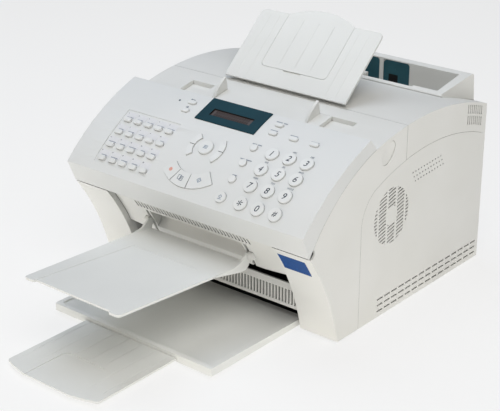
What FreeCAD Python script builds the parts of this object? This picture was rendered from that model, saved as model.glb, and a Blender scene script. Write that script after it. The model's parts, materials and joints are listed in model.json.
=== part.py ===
"""A desktop laser fax machine with a hinged control panel, a document feeder and two front trays."""

import FreeCAD
import Part

import math
import os

V = FreeCAD.Vector

# Whole machine, in millimetres. Heights are above the lower edge of the covers,
# depths are behind the front foot of the columns.
body_width = 400.0
body_depth = 336.0
wall = 3.0
seam = 0.4
slip = 0.3
foot_height = 3.0
foot_radius = 9.0
foot_places = ((150.0, 62.0), (-150.0, 62.0), (150.0, 300.0), (-150.0, 300.0))

# Side view: leaning columns, panel seat and arched top
column_lean = 61.5
column_height = 136.5
column_hollow = 8.4
column_width = 59.0
seat_back_y = 72.5
seat_back_z = 238.0
seat_crown = 14.5
arch_rear_z = 229.0
arch_crown = 20.5
deck_seam_y = 139.7

# Side covers
side_front_y = 44.6
shoulder_z = 137.0
shoulder_radius = 53.3
side_front_top_y = 71.0
side_rear_z = 185.5
side_crown = 26.3
side_rim = 10.0
rim_wall = 2.5

# Control panel slab
panel_front_y = -75.0
panel_front_z = 168.0
panel_back_y = 59.0
panel_back_z = 254.0
panel_crown = 9.9
panel_pin_radius = 2.0
panel_pin_y = -57.5
panel_pin_z = 141.5
panel_lug_x = 150.0
panel_lug_width = 6.0
mouth_half = 112.0
mouth_height = 13.0

# Keys on the panel: x across, s along the curved face from its front edge
number_x = 94.0
number_pitch_x = 27.1
number_s = 18.0
number_pitch_s = 25.65
number_radius = 9.2
round_x = 62.3
round_radius = 7.5
menu_x = -1.6
menu_s = 76.6
menu_radius = 10.4
scroll_inner = 19.0
scroll_outer = 28.5
scroll_angle = 42.0
scroll_proud = 1.4
command_inner = 41.0
command_outer = 62.5
command_proud = 0.9
command_limits = (-133.6, -111.0, -84.0, -47.4)
one_touch_x = -146.7
one_touch_pitch_x = 18.6
one_touch_columns = 5
one_touch_s = 19.6
one_touch_pitch_s = 21.4
oval_length = 13.0
oval_width = 6.4
function_ovals = ((70.8, 142.9), (72.1, 126.9), (105.2, 126.9), (137.5, 126.9))
function_rounds = ((63.6, 96.5), (63.6, 70.9), (63.6, 45.3))
function_round_radius = 5.2
status_x = -75.2
status_s = (124.7, 140.9)
key_height = 2.4
key_flange = 0.9
key_travel = 1.2

# Display
bezel_x = -2.0
bezel_s = 138.0
bezel_width = 100.0
bezel_length = 43.0
bezel_sink = 1.8
bezel_proud = 0.9
window_width = 68.0
window_length = 13.0
window_s = 134.5

# Document deck, guides, tray and its flap
guide_half = 77.0
guide_width = 23.0
guide_y = 84.0
guide_length = 30.0
guide_height = 20.0
guide_travel = 31.0
pocket_reach = 140.0
pocket_depth = 6.0
tray_half = 100.5
tray_length = 110.0
tray_tilt = 45.0
tray_wall = 4.0
tray_foot_y = 143.0
tray_foot_z = 257.3
tray_corner = 9.0
tray_tab_x = 70.0
tray_tab_width = 14.0
tray_tab_wall = 3.0
tray_tab_depth = 12.0
tray_tab_along = 5.0
flap_half = 45.0
flap_foot = 21.0
flap_corner = 7.0
flap_wall = 2.0
flap_bulge = 10.0
flap_pin_from_top = 8.0
flap_pin_radius = 1.0
flap_pin_length = 4.0
thumb_half = 13.0
thumb_depth = 5.0

# Release button on the right shoulder
release_y = 98.5
release_z = 225.5
release_long = 17.0
release_short = 11.5
release_tilt = 45.0
release_depth = 9.0

# Sheet feeder at the rear
feeder_half = 179.0
feeder_front_y = 256.0
feeder_front_z = 259.0
feeder_rear_z = 266.0
feeder_floor_z = 196.0
feeder_side = 16.0
hopper_front_y = 268.0
hopper_rear_y = 322.0
pad_edges = ((-79.0, -35.0), (-28.0, 28.0), (35.0, 79.0))
pad_wall = 1.2
pad_foot_z = 214.0
sheet_guide_x = 31.0
sheet_guide_wall = 3.0
sheet_guide_hook = 4.0
sheet_guide_travel = 77.0

# Front recess: cover, document exit, print exit and grille
recess_depth = 12.0
cover_foot_z = 78.0
comb_half = 103.0
comb_pitch = 5.7
comb_slot = 2.6
comb_low_z = 119.0
comb_high_z = 130.0
exit_half = 76.0
exit_low_z = 90.0
exit_high_z = 116.0
exit_scoop = 17.0
grille_y = -4.0
grille_low_z = 26.5
grille_high_z = 60.6
grille_wall = 2.5
grille_pitch = 5.2
grille_slot = 2.7
grille_slot_low = 31.0
grille_slot_high = 51.0
grille_shelf = 34.0

# Document exit tray
exit_tray_rear_y = -39.0
exit_tray_rear_z = 92.0
exit_tray_front_y = -257.0
exit_tray_front_z = 100.0
exit_tray_half = 86.5
exit_tray_front_half = 80.0
exit_tray_wall = 2.5
exit_tray_skirt = 11.0
exit_tray_skirt_rear = 22.0
exit_pin_y = -36.0
exit_pin_z = 100.0
exit_pin_radius = 2.5
exit_pin_length = 6.0

# Output tray and its extension
output_half = 136.0
output_front_y = -167.0
output_rear_y = 16.0
output_top_z = 12.0
output_rear_top_z = 9.0
output_wall = 2.5
output_border = 2.0
output_border_width = 7.0
extension_half = 78.5
extension_front_y = -299.0
extension_top_z = 5.6
extension_wall = 3.0
extension_tail = 60.0

# Vents of the side covers and of the top cover
fan_y = 111.0
fan_z = 137.0
fan_radius = 38.5
fan_hub = 13.0
fan_slot = 2.4
fan_slot_pitch = 4.7
fan_slot_rise = 13.0
fan_bar = 4.0
fan_bar_pitch = 20.0
dot_radius = 1.2
dot_pitch = 6.6
dot_columns = 11
dot_rows = 3
dot_y = 157.0
dot_z = 181.5
dash_length = 13.0
dash_height = 2.5
dash_pitch = 16.4
dash_first_y = 86.0
dash_rows_z = (8.3, 16.8, 25.3)
rear_vent_y = 286.0
rear_vent_pitch = 5.0
rear_vent_count = 8
rear_vent_slot = 2.4
rear_vent_height = 12.5
rear_vent_gap = 3.0

# Inside
plate_x = 168.0
plate_wall = 3.0
floor_z = 0.5
floor_wall = 3.0
shaft_fit = 0.05
document_roller_radius = 7.0
document_roller_y = 8.0
shaft_radius = 2.0
exit_roller_radius = 7.0
exit_roller_y = 14.0
exit_roller_z = 70.0
pickup_radius = 12.0
pickup_y = 290.0
cartridge_radius = 26.0
cartridge_y = 150.0
cartridge_z = 95.0
fan_frame_depth = 20.0


class Round:
    """A circle in the side view through three points given as (depth, height)."""

    def __init__(self, a, b, c):
        curve = Part.Arc(side(a), side(b), side(c)).toShape().Curve
        self.y = curve.Center.y
        self.z = curve.Center.z
        self.r = curve.Radius

    def top(self, y, sunk=0.0):
        return (y, self.z + math.sqrt((self.r - sunk) ** 2 - (y - self.y) ** 2))

    def rear(self, z, sunk=0.0):
        return (self.y + math.sqrt((self.r + sunk) ** 2 - (z - self.z) ** 2), z)


def side(point, x=0.0):
    return V(x, point[0], point[1])


def bow(a, b, crown):
    """The middle of an arc from a to b that bulges by crown to the left of the way from a to b."""
    dy = b[0] - a[0]
    dz = b[1] - a[1]
    length = math.hypot(dy, dz)
    return ((a[0] + b[0]) / 2 - crown * dz / length, (a[1] + b[1]) / 2 + crown * dy / length)


def outline(start, *legs):
    """A face in the side view. A leg is (end,) for a straight run or (middle, end) for an arc."""
    edges = []
    here = start
    for leg in legs:
        if len(leg) == 2:
            edges.append(Part.Arc(side(here), side(leg[0]), side(leg[1])).toShape())
        else:
            edges.append(Part.LineSegment(side(here), side(leg[0])).toShape())
        here = leg[-1]
    if here != start:
        edges.append(Part.LineSegment(side(here), side(start)).toShape())
    return Part.Face(Part.Wire(edges))


def across(face, x0, x1):
    """A side-view face run from x0 to x1."""
    solid = face.extrude(V(x1 - x0, 0, 0))
    solid.translate(V(x0, 0, 0))
    return solid


def box(x0, x1, y0, y1, z0, z1):
    return Part.makeBox(x1 - x0, y1 - y0, z1 - z0, V(x0, y0, z0))


def rod(radius, x0, x1, y, z):
    return Part.makeCylinder(radius, x1 - x0, V(x0, y, z), V(1, 0, 0))


def mirrored(shape):
    return shape.mirror(V(0, 0, 0), V(1, 0, 0))


def fused(shapes):
    whole = shapes[0]
    if len(shapes) > 1:
        whole = whole.fuse(shapes[1:])
    return whole.removeSplitter()


def inset(face, amount):
    return face.makeOffset2D(-amount)


def curved_plate(circle, y0, y1, thickness, sunk=0.0):
    """A plate under a circle between two depths."""
    middle = (y0 + y1) / 2
    low = sunk + thickness
    return outline(circle.top(y0, sunk), (circle.top(middle, sunk), circle.top(y1, sunk)),
                   (circle.top(y1, low),), (circle.top(middle, low), circle.top(y0, low)))


# Curves of the side view
half_width = body_width / 2
column_inner = half_width - column_width
column_foot = (0.0, 0.0)
column_top = (-column_lean, column_height)
seat_back = (seat_back_y, seat_back_z)
arch_rear = (body_depth, arch_rear_z)
column_face = Round(column_foot, bow(column_foot, column_top, -column_hollow), column_top)
seat_face = Round(column_top, bow(column_top, seat_back, seat_crown), seat_back)
arch_face = Round(seat_back, bow(seat_back, arch_rear, arch_crown), arch_rear)
shoulder_centre = (side_front_y + shoulder_radius, shoulder_z)
shoulder_height = math.sqrt(shoulder_radius ** 2 - (shoulder_centre[0] - side_front_top_y) ** 2)
side_front_top = (side_front_top_y, shoulder_z + shoulder_height)
side_rear_top = (body_depth, side_rear_z)
side_top_face = Round(side_front_top, bow(side_front_top, side_rear_top, side_crown), side_rear_top)
shoulder_turn = (math.pi + math.atan2(shoulder_height, side_front_top_y - shoulder_centre[0])) / 2
shoulder_middle = (shoulder_centre[0] + shoulder_radius * math.cos(shoulder_turn),
                   shoulder_z + shoulder_radius * math.sin(shoulder_turn))
panel_front = (panel_front_y, panel_front_z)
panel_back = (panel_back_y, panel_back_z)
panel_face = Round(panel_front, bow(panel_front, panel_back, panel_crown), panel_back)
panel_start = math.atan2(panel_face.y - panel_front_y, panel_front_z - panel_face.z)
key_seat = wall + seam / 2 + 2 * slip
command_s = menu_s - 0.9 * (command_inner + command_outer) / 2
function_press_s = function_rounds[0][1]
origin_y = (body_depth + extension_front_y) / 2
pickup_z = feeder_floor_z + wall + pickup_radius + 1


def panel_tilt(s):
    return panel_start - s / panel_face.r


def stand(shape, x, s):
    """Sets a shape drawn flat, with +Y up the slope, onto the curved face of the panel."""
    tilt = panel_tilt(s)
    placed = shape.copy()
    placed.rotate(V(0, 0, 0), V(1, 0, 0), math.degrees(tilt))
    placed.translate(V(x, panel_face.y - panel_face.r * math.sin(tilt),
                       panel_face.z + panel_face.r * math.cos(tilt)))
    return placed


def stand_command(shape):
    """Sets a ring sector drawn about the menu key onto the face further down the slope."""
    moved = shape.copy()
    moved.translate(V(0, menu_s - command_s, 0))
    return stand(moved, menu_x, command_s)


def export(node, shape):
    """Writes one piece with the machine standing on its feet, centred over the origin."""
    solids = shape.Solids
    placed = Part.makeCompound(solids) if len(solids) > 1 else solids[0].copy()
    placed.translate(V(0, -origin_y, foot_height))
    placed.exportStep("parts/" + node + ".step")


def side_outline():
    """The outline of a side cover without its seam."""
    middle = (side_front_top_y + body_depth) / 2
    return outline((side_front_y, 0.0), ((side_front_y, shoulder_z),), (shoulder_middle, side_front_top),
                   (side_top_face.top(middle), side_rear_top), ((body_depth, 0.0),))


def side_cover(extra_cuts):
    """A shallow tray moulding for the right side, with rows of dashes near the floor."""
    face = inset(side_outline(), seam / 2)
    cover = across(face, half_width - side_rim, half_width)
    cover = cover.cut(across(inset(face, rim_wall), half_width - side_rim, half_width - wall))
    cuts = list(extra_cuts)
    y = dash_first_y
    while y + dash_length < body_depth - rim_wall:
        for z in dash_rows_z:
            cuts.append(box(half_width - wall - 1, half_width + 1, y, y + dash_length,
                            z - dash_height / 2, z + dash_height / 2))
        y += dash_pitch
    return cover.cut(Part.makeCompound(cuts))


def fan_slots():
    """Slanted slots in broken columns, inside a ring round a plain hub."""
    x0 = half_width - wall - 1
    ring = rod(fan_radius, x0, half_width + 1, 0, 0).cut(rod(fan_hub, x0 - 1, half_width + 2, 0, 0))
    bars = []
    for n in (-1.5, -0.5, 0.5, 1.5):
        bars.append(box(x0 - 1, half_width + 2, n * fan_bar_pitch - fan_bar / 2, n * fan_bar_pitch + fan_bar / 2,
                        -fan_radius, fan_radius))
    ring = ring.cut(Part.makeCompound(bars))
    rows = int(fan_radius / fan_slot_pitch)
    strips = []
    for n in range(-rows, rows + 1):
        strip = box(x0, half_width + 1, -2 * fan_radius, 2 * fan_radius,
                    n * fan_slot_pitch - fan_slot / 2, n * fan_slot_pitch + fan_slot / 2)
        strip.rotate(V(0, 0, 0), V(1, 0, 0), fan_slot_rise)
        strips.append(strip)
    slots = ring.common(Part.makeCompound(strips))
    slots.translate(V(0, fan_y, fan_z))
    return slots


def speaker_dots():
    dots = []
    for row in range(dot_rows):
        for column in range(dot_columns):
            y = dot_y + column * dot_pitch + row * dot_pitch / 2
            z = dot_z + column * 0.4 - row * dot_pitch
            dots.append(rod(dot_radius, half_width - wall - 1, half_width + 1, y, z))
    return dots


def front_frame():
    """Columns, shoulders, the bed under the panel and the document deck, open to the rear."""
    middle = (side_front_top_y + deck_seam_y) / 2
    deck_middle = (seat_back_y + deck_seam_y) / 2
    shell_side = outline(column_foot, (bow(column_foot, column_top, -column_hollow), column_top),
                         (bow(column_top, seat_back, seat_crown), seat_back),
                         (arch_face.top(deck_middle), arch_face.top(deck_seam_y)),
                         (side_top_face.top(deck_seam_y),),
                         (side_top_face.top(middle), side_front_top),
                         (shoulder_middle, (side_front_y, shoulder_z)), ((side_front_y, 0.0),))
    shell_side = inset(shell_side, seam / 2)
    half = half_width - wall / 2
    bed = curved_plate(seat_face, -column_lean + wall, seat_back_y, wall, seam / 2)
    deck = curved_plate(arch_face, seat_back_y - wall, deck_seam_y - seam / 2, wall, seam / 2)
    top_z = column_height - seam
    mid_z = top_z / 2
    front = outline(column_face.rear(seam / 2, seam / 2), (column_face.rear(mid_z, seam / 2), column_face.rear(top_z, seam / 2)),
                    (column_face.rear(top_z, wall),), (column_face.rear(mid_z, wall), column_face.rear(seam / 2, wall)))
    cheek = outline(column_face.rear(seam / 2, seam / 2), (column_face.rear(mid_z, seam / 2), column_face.rear(top_z, seam / 2)),
                    ((side_front_y - wall, top_z),), ((side_front_y - wall, seam / 2),))
    pieces = [across(bed, -half, half), across(deck, -half, half)]
    right = [across(shell_side, half_width - wall, half_width), across(front, column_inner, half_width - wall / 2),
             across(cheek, column_inner, column_inner + wall)]
    pocket_low = guide_half + slip
    floor = curved_plate(arch_face, guide_y - slip - wall, guide_y + guide_length + slip + wall,
                         pocket_depth + wall, seam / 2)
    right.append(across(floor, pocket_low - 2 * wall, pocket_reach + wall))
    pieces += right
    pieces += [mirrored(piece) for piece in right]
    frame = fused(pieces)
    pocket = curved_plate(arch_face, guide_y - slip, guide_y + guide_length + slip, pocket_depth + 20, -20.0)
    pocket = across(pocket, pocket_low - slip - 0.2, pocket_reach)
    groove = math.hypot(panel_pin_y + column_lean, panel_pin_z - column_height) + slip
    hinge_groove = rod(groove, -half_width, half_width, panel_pin_y, panel_pin_z)
    exit_bearing = rod(shaft_radius + shaft_fit, -column_inner - wall - 1, column_inner + wall + 1, exit_roller_y, exit_roller_z)
    cuts = [pocket, mirrored(pocket), hinge_groove, release_hole(), exit_bearing]
    cuts.append(box(-mouth_half + 10, mouth_half - 10, document_roller_y - document_roller_radius - slip - 1,
                    document_roller_y + document_roller_radius + slip + 1, seat_back_z - 60, seat_back_z))
    frame = frame.cut(Part.makeCompound(cuts))
    ears = panel_ears()
    return fused([frame] + ears)


def panel_ears():
    """Ears on the bed that hold the hinge pins of the panel."""
    ears = []
    for x in (-panel_lug_x, panel_lug_x):
        ear = rod(panel_pin_radius + 2, x - panel_lug_width / 2, x + panel_lug_width / 2, panel_pin_y, panel_pin_z)
        foot = box(x - panel_lug_width / 2, x + panel_lug_width / 2, panel_pin_y + 1, panel_pin_y + 12,
                   panel_pin_z - 12, panel_pin_z)
        ear = ear.fuse(foot).cut(rod(panel_pin_radius + shaft_fit, x - panel_lug_width, x + panel_lug_width,
                                     panel_pin_y, panel_pin_z))
        ears.append(ear)
    return ears


def oval_rod(long_half, short_half, x0, x1, y, z, tilt):
    oval = Part.Ellipse(V(0, 0, 0), long_half, short_half).toShape()
    face = Part.Face(Part.Wire([oval]))
    solid = face.extrude(V(0, 0, x1 - x0))
    solid.rotate(V(0, 0, 0), V(1, 1, 1), 120)
    solid.rotate(V(0, 0, 0), V(1, 0, 0), tilt)
    solid.translate(V(x0, y, z))
    return solid


def release_hole():
    return oval_rod(release_long + slip, release_short + slip, half_width - 2 * wall, half_width + 1,
                    release_y, release_z, release_tilt)


def cover_release():
    """A dished oval button with a flange behind the shoulder wall."""
    button = oval_rod(release_long, release_short, half_width - release_depth, half_width - 0.6,
                      release_y, release_z, release_tilt)
    flange = oval_rod(release_long + 2, release_short + 2, half_width - release_depth, half_width - wall - 2 * slip,
                      release_y, release_z, release_tilt)
    dish_radius = 4 * release_long
    dish = Part.makeSphere(dish_radius, V(half_width - 2.4 + dish_radius, release_y, release_z))
    return button.fuse(flange).cut(dish).removeSplitter()


def front_cover():
    """The wall between the columns with its comb of slots and the scoop of the document exit."""
    half = column_inner - seam
    sunk = recess_depth
    top_z = column_height - wall
    mid_z = (top_z + cover_foot_z) / 2
    plate = outline(column_face.rear(cover_foot_z, sunk), (column_face.rear(mid_z, sunk), column_face.rear(top_z, sunk)),
                    (column_face.rear(top_z, sunk + wall),),
                    (column_face.rear(mid_z, sunk + wall), column_face.rear(cover_foot_z, sunk + wall)))
    wall_piece = across(plate, -half, half)
    low = column_face.rear(exit_low_z, sunk)
    high = column_face.rear(exit_high_z, sunk)
    scoop_out = outline(low, (bow(low, high, -exit_scoop), high))
    shell = across(outline(column_face.rear(exit_low_z - wall, sunk),
                           (bow(low, high, -exit_scoop - wall), column_face.rear(exit_high_z + wall, sunk))),
                   -exit_half - wall, exit_half + wall)
    front_room = across(outline(low, (high,), (column_face.rear(exit_high_z, -recess_depth),),
                                (column_face.rear(exit_low_z, -recess_depth),)), -exit_half, exit_half)
    piece = wall_piece.fuse(shell).cut(across(scoop_out, -exit_half, exit_half)).cut(front_room)
    cuts = []
    count = int(2 * comb_half / comb_pitch)
    for n in range(count):
        x = (n - (count - 1) / 2) * comb_pitch
        cuts.append(box(x - comb_slot / 2, x + comb_slot / 2, column_face.rear(comb_high_z, sunk)[0] - 6,
                        column_face.rear(comb_low_z, sunk)[0] + 14, comb_low_z, comb_high_z))
    slot_y = column_face.rear(exit_high_z, sunk)[0]
    cuts.append(box(-exit_half + 4, exit_half - 4, slot_y + 4, slot_y + 40, exit_high_z - 12, exit_high_z - 6))
    piece = piece.cut(Part.makeCompound(cuts))
    lugs = []
    for sign in (-1, 1):
        x = sign * (exit_tray_half + slip)
        x0, x1 = sorted((x, x + sign * exit_pin_length))
        lug = rod(exit_pin_radius + 3, x0, x1, exit_pin_y, exit_pin_z)
        arm = box(x0, x1, exit_pin_y, column_face.rear(exit_pin_z, sunk + 1)[0],
                  exit_pin_z - exit_pin_radius - 3, exit_pin_z + exit_pin_radius + 3)
        lugs.append(lug.fuse(arm).cut(rod(exit_pin_radius + shaft_fit, x0 - 1, x1 + 1, exit_pin_y, exit_pin_z)))
    return fused([piece] + lugs)


def front_grille():
    """Upright slots under the print exit, with a shelf that guides the sheet out."""
    half = column_inner - seam
    plate = box(-half, half, grille_y, grille_y + grille_wall, grille_low_z, grille_high_z)
    shelf = box(-half, half, grille_y, grille_y + grille_shelf, grille_high_z - grille_wall, grille_high_z)
    cuts = []
    count = int(2 * half / grille_pitch) - 1
    for n in range(count):
        x = (n - (count - 1) / 2) * grille_pitch
        cuts.append(box(x - grille_slot / 2, x + grille_slot / 2, grille_y - 1, grille_y + grille_wall + 1,
                        grille_slot_low, grille_slot_high))
    return plate.fuse(shelf).removeSplitter().cut(Part.makeCompound(cuts))


def top_cover():
    """The arch behind the deck, with side strips, a vent in each and a bay for the sheet feeder."""
    front = deck_seam_y + seam / 2
    middle = (front + body_depth) / 2
    strip = outline(arch_face.top(front), (arch_face.top(middle), arch_rear), (side_rear_top,),
                    (side_top_face.top(middle), side_top_face.top(front)))
    strip = inset(strip, seam / 2)
    arch = curved_plate(arch_face, front + seam / 2, body_depth - seam, wall, seam / 2)
    right = across(strip, half_width - wall, half_width)
    vents = []
    for n in range(rear_vent_count):
        y = rear_vent_y + n * rear_vent_pitch
        low = side_top_face.top(y)[1] + 10
        for z in (low, low + rear_vent_height + rear_vent_gap):
            vents.append(box(half_width - wall - 1, half_width + 1, y, y + rear_vent_slot, z, z + rear_vent_height))
    right = right.cut(Part.makeCompound(vents))
    bay = box(-feeder_half - seam, feeder_half + seam, feeder_front_y - seam, body_depth + 1, feeder_floor_z, 400)
    cover = fused([across(arch, -half_width + wall / 2, half_width - wall / 2), right, mirrored(right)]).cut(bay)
    return cover.cut(Part.makeCompound(tray_tabs(seam / 2)))


def tray_point(along, below):
    """A point of the document tray: along it from its foot, and below its upper face."""
    tilt = math.radians(tray_tilt)
    return (tray_foot_y + along * math.cos(tilt) + below * math.sin(tilt),
            tray_foot_z + along * math.sin(tilt) - below * math.cos(tilt))


def tray_tabs(grow):
    """Tabs under the foot of the document tray that plug into the top cover."""
    y, z = tray_point(tray_tab_along, tray_wall / 2)
    tabs = []
    for x in (-tray_tab_x, tray_tab_x):
        tabs.append(box(x - tray_tab_width / 2 - grow, x + tray_tab_width / 2 + grow, y - tray_tab_wall / 2 - grow,
                        y + tray_tab_wall / 2 + grow, z - tray_tab_depth - grow, z))
    return tabs


def rounded_plate(x0, x1, y0, y1, z0, z1, radius, corners):
    """A flat plate with some upright corners rounded; corners holds (right, far) pairs of 0 or 1."""
    plate = box(x0, x1, y0, y1, z0, z1)
    spots = [(x1 if right else x0, y1 if far else y0) for right, far in corners]
    edges = []
    for edge in plate.Edges:
        middle = edge.CenterOfMass
        upright = abs(edge.Vertexes[0].Z - edge.Vertexes[-1].Z) > 1e-6
        if upright and any(abs(middle.x - x) + abs(middle.y - y) < 1e-6 for x, y in spots):
            edges.append(edge)
    return plate.makeFillet(radius, edges)


def lean(shape):
    """Tips a tray drawn flat, with +Y up the slope and its upper face at z = 0, to its place."""
    placed = shape.copy()
    placed.rotate(V(0, 0, 0), V(1, 0, 0), tray_tilt)
    placed.translate(V(0, tray_foot_y, tray_foot_z))
    return placed


def flap_outline(grow):
    """The flap seen square on: a U with a bulged upper edge."""
    half = flap_half + grow
    foot = flap_foot - grow
    top = tray_length
    plate = rounded_plate(-half, half, foot, top, -flap_wall, 0.0, flap_corner + grow, ((0, 0), (1, 0)))
    left = V(-half, top, -flap_wall)
    right = V(half, top, -flap_wall)
    arc = Part.Arc(left, V(0, top + flap_bulge, -flap_wall), right).toShape()
    cap = Part.Face(Part.Wire([arc, Part.LineSegment(right, left).toShape()])).extrude(V(0, 0, flap_wall))
    return plate.fuse(cap).removeSplitter()


def document_tray():
    """The tilted tray with a bed for its flap, ribs under it and two tabs that plug it in."""
    plate = rounded_plate(-tray_half, tray_half, 0.0, tray_length, -tray_wall, 0.0, tray_corner,
                          ((0, 0), (1, 0), (0, 1), (1, 1)))
    bed = flap_outline(slip)
    bed.translate(V(0, 0, 0.0))
    sink = flap_outline(slip)
    sink.translate(V(0, 0, -slip))
    swing = flap_pin_from_top + flap_bulge + 2
    window = box(-flap_half - slip, flap_half + slip, tray_length - flap_pin_from_top - swing, tray_length + 20,
                 -tray_wall - 1, 1)
    thumb = Part.makeCylinder(thumb_half, tray_wall, V(0, flap_foot + thumb_half - thumb_depth, -flap_wall - slip))
    pin_y = tray_length - flap_pin_from_top
    pins = rod(flap_pin_radius + shaft_fit, -flap_half - flap_pin_length - 1, flap_half + flap_pin_length + 1,
               pin_y, -flap_wall / 2)
    plate = plate.cut(Part.makeCompound([bed, sink])).cut(window).cut(thumb).cut(pins)
    ribs = []
    for x in (-tray_half + 10, tray_half - 12):
        ribs.append(box(x, x + 2, tray_corner, tray_length - tray_corner, -tray_wall - 3, -tray_wall))
    return fused([lean(fused([plate] + ribs))] + tray_tabs(0.0))


def document_tray_flap():
    plate = flap_outline(0.0)
    pin_y = tray_length - flap_pin_from_top
    pins = [rod(flap_pin_radius, flap_half - 6, flap_half + flap_pin_length, pin_y, -flap_wall / 2),
            rod(flap_pin_radius, -flap_half - flap_pin_length, -flap_half + 6, pin_y, -flap_wall / 2)]
    return lean(fused([plate] + pins))


def document_guide():
    """The right guide: a foot that slides in the deck pocket and an upright fin at its inner edge."""
    x0 = guide_half
    foot = across(curved_plate(arch_face, guide_y, guide_y + guide_length, pocket_depth - slip, seam / 2),
                  x0, x0 + guide_width)
    low = arch_face.top(guide_y, 2.0)
    high = arch_face.top(guide_y + guide_length, 2.0)
    tip = (high[0] - 3, high[1] + guide_height)
    fin = across(outline(low, ((low[0] + 12, low[1] + guide_height * 0.75), tip), (high,)), x0, x0 + 4.0)
    wedge = fin.copy()
    return fused([foot, wedge])


def sheet_feeder():
    """A box let into the top cover at the rear, with a deep hopper and swept shoulders."""
    front_low = arch_face.top(feeder_front_y, wall)
    body = outline((feeder_front_y, feeder_floor_z), (front_low,), ((feeder_front_y + 2, feeder_front_z - 3),),
                   ((hopper_front_y - 4, feeder_front_z),), ((body_depth - seam, feeder_rear_z),),
                   ((body_depth - seam, feeder_floor_z),))
    block = across(body, -feeder_half, feeder_half)
    shoulder_edges = []
    for edge in block.Edges:
        middle = edge.CenterOfMass
        if abs(abs(middle.x) - feeder_half) < 1e-6 and middle.z > feeder_front_z:
            shoulder_edges.append(edge)
    block = block.makeFillet(feeder_side * 0.6, shoulder_edges)
    hopper = outline((hopper_front_y, feeder_floor_z + wall), ((hopper_front_y, feeder_rear_z + 20),),
                     ((hopper_rear_y, feeder_rear_z + 20),), ((hopper_rear_y, feeder_floor_z + wall + 12),),
                     ((hopper_rear_y - 14, feeder_floor_z + wall),))
    half = feeder_half - feeder_side
    hopper = across(hopper, -half, half)
    beds = []
    for x0, x1 in pad_edges:
        beds.append(box(x0, x1, hopper_rear_y - 1, hopper_rear_y + pad_wall, pad_foot_z, feeder_rear_z - 4))
    slide = box(sheet_guide_x - slip, sheet_guide_x + sheet_guide_travel + sheet_guide_wall + sheet_guide_hook + slip,
                hopper_front_y - 3 - slip, hopper_front_y + 1, feeder_front_z - 6, feeder_front_z + 20)
    shaft = rod(shaft_radius + shaft_fit, -half - feeder_side / 2, half + feeder_side / 2, pickup_y, pickup_z)
    return block.cut(hopper).cut(Part.makeCompound(beds)).cut(slide).cut(shaft)


def feeder_pads():
    pads = []
    for x0, x1 in pad_edges:
        pads.append(box(x0 + seam, x1 - seam, hopper_rear_y, hopper_rear_y + pad_wall,
                        pad_foot_z + seam, feeder_rear_z - 4 - seam))
    return Part.makeCompound(pads)


def sheet_guide():
    """An upright fin that slides along the hopper, hooked over its front rim."""
    x0 = sheet_guide_x
    x1 = x0 + sheet_guide_wall
    fin = box(x0, x1, hopper_front_y + slip, hopper_rear_y - slip, pad_foot_z + 8, feeder_rear_z - 2)
    hook = box(x0, x1 + sheet_guide_hook, hopper_front_y - 3, hopper_front_y + 3, feeder_front_z - 6 + slip, feeder_front_z + 2)
    return fused([fin, hook])


def rear_cover():
    """The back wall between the side covers, with a window for the sockets and a row of vents."""
    half = half_width - side_rim - seam
    low = wall
    plate = box(-half, half, body_depth - wall, body_depth - seam, low, arch_rear_z - wall - seam)
    above = box(-half - side_rim, half + side_rim, body_depth - wall - 1, body_depth + 1, side_rear_z - 2 * rim_wall, 400)
    strip = box(-half_width + wall + seam, half_width - wall - seam, body_depth - wall, body_depth - seam,
                side_top_face.top(body_depth - wall - 1)[1] + seam, arch_rear_z - wall - seam)
    plate = plate.cut(above.cut(box(-half, half, 0, 400, 0, 400))).fuse(strip).removeSplitter()
    bay = box(-feeder_half - seam, feeder_half + seam, 0, 400, feeder_floor_z - seam, 400)
    plate = plate.cut(bay)
    windows = [box(x - w / 2 - slip, x + w / 2 + slip, 0, 400, z - h / 2 - slip, z + h / 2 + slip)
               for x, z, w, h in socket_places]
    for n in range(14):
        x = 20 + n * 8.0
        windows.append(box(x, x + 3, 0, 400, 110, 150))
    return plate.cut(Part.makeCompound(windows))


# Rear sockets: (x, z, width, height) of the power inlet and the two telephone sockets
socket_places = ((-140.0, 34.0, 28.0, 21.0), (110.0, 30.0, 14.0, 13.0), (132.0, 30.0, 14.0, 13.0))
socket_depth = 18.0


def rear_sockets():
    sockets = []
    for x, z, w, h in socket_places:
        y1 = body_depth - seam - 0.5
        shell = box(x - w / 2, x + w / 2, y1 - socket_depth, y1, z - h / 2, z + h / 2)
        shell = shell.cut(box(x - w / 2 + 2, x + w / 2 - 2, y1 - socket_depth + 4, y1 + 1, z - h / 2 + 2, z + h / 2 - 2))
        flange = box(x - w / 2 - 2, x + w / 2 + 2, body_depth - wall - 2, body_depth - wall, z - h / 2 - 2, z + h / 2 + 2)
        sockets.append(shell.fuse(flange.cut(box(x - w / 2 + 1, x + w / 2 - 1, 0, 400, z - h / 2 + 1, z + h / 2 - 1))))
    return Part.makeCompound([socket.removeSplitter() for socket in sockets])


def sector(inner, outer, start, end, z0, z1):
    """A flat ring sector between two angles in degrees."""
    a = math.radians(start)
    b = math.radians(end)
    m = (a + b) / 2

    def at(radius, angle):
        return V(radius * math.cos(angle), radius * math.sin(angle), z0)

    edges = [Part.Arc(at(outer, a), at(outer, m), at(outer, b)).toShape(),
             Part.LineSegment(at(outer, b), at(inner, b)).toShape(),
             Part.Arc(at(inner, b), at(inner, m), at(inner, a)).toShape(),
             Part.LineSegment(at(inner, a), at(outer, a)).toShape()]
    return Part.Face(Part.Wire(edges)).extrude(V(0, 0, z1 - z0))


def sector_key(inner, outer, start, end, grow, z0, z1):
    margin = math.degrees((seam - grow) / inner)
    return sector(inner + seam - grow, outer - seam + grow, start + margin, end - margin, z0, z1)


def disc(radius, z0, z1):
    return Part.makeCylinder(radius, z1 - z0, V(0, 0, z0))


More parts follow.
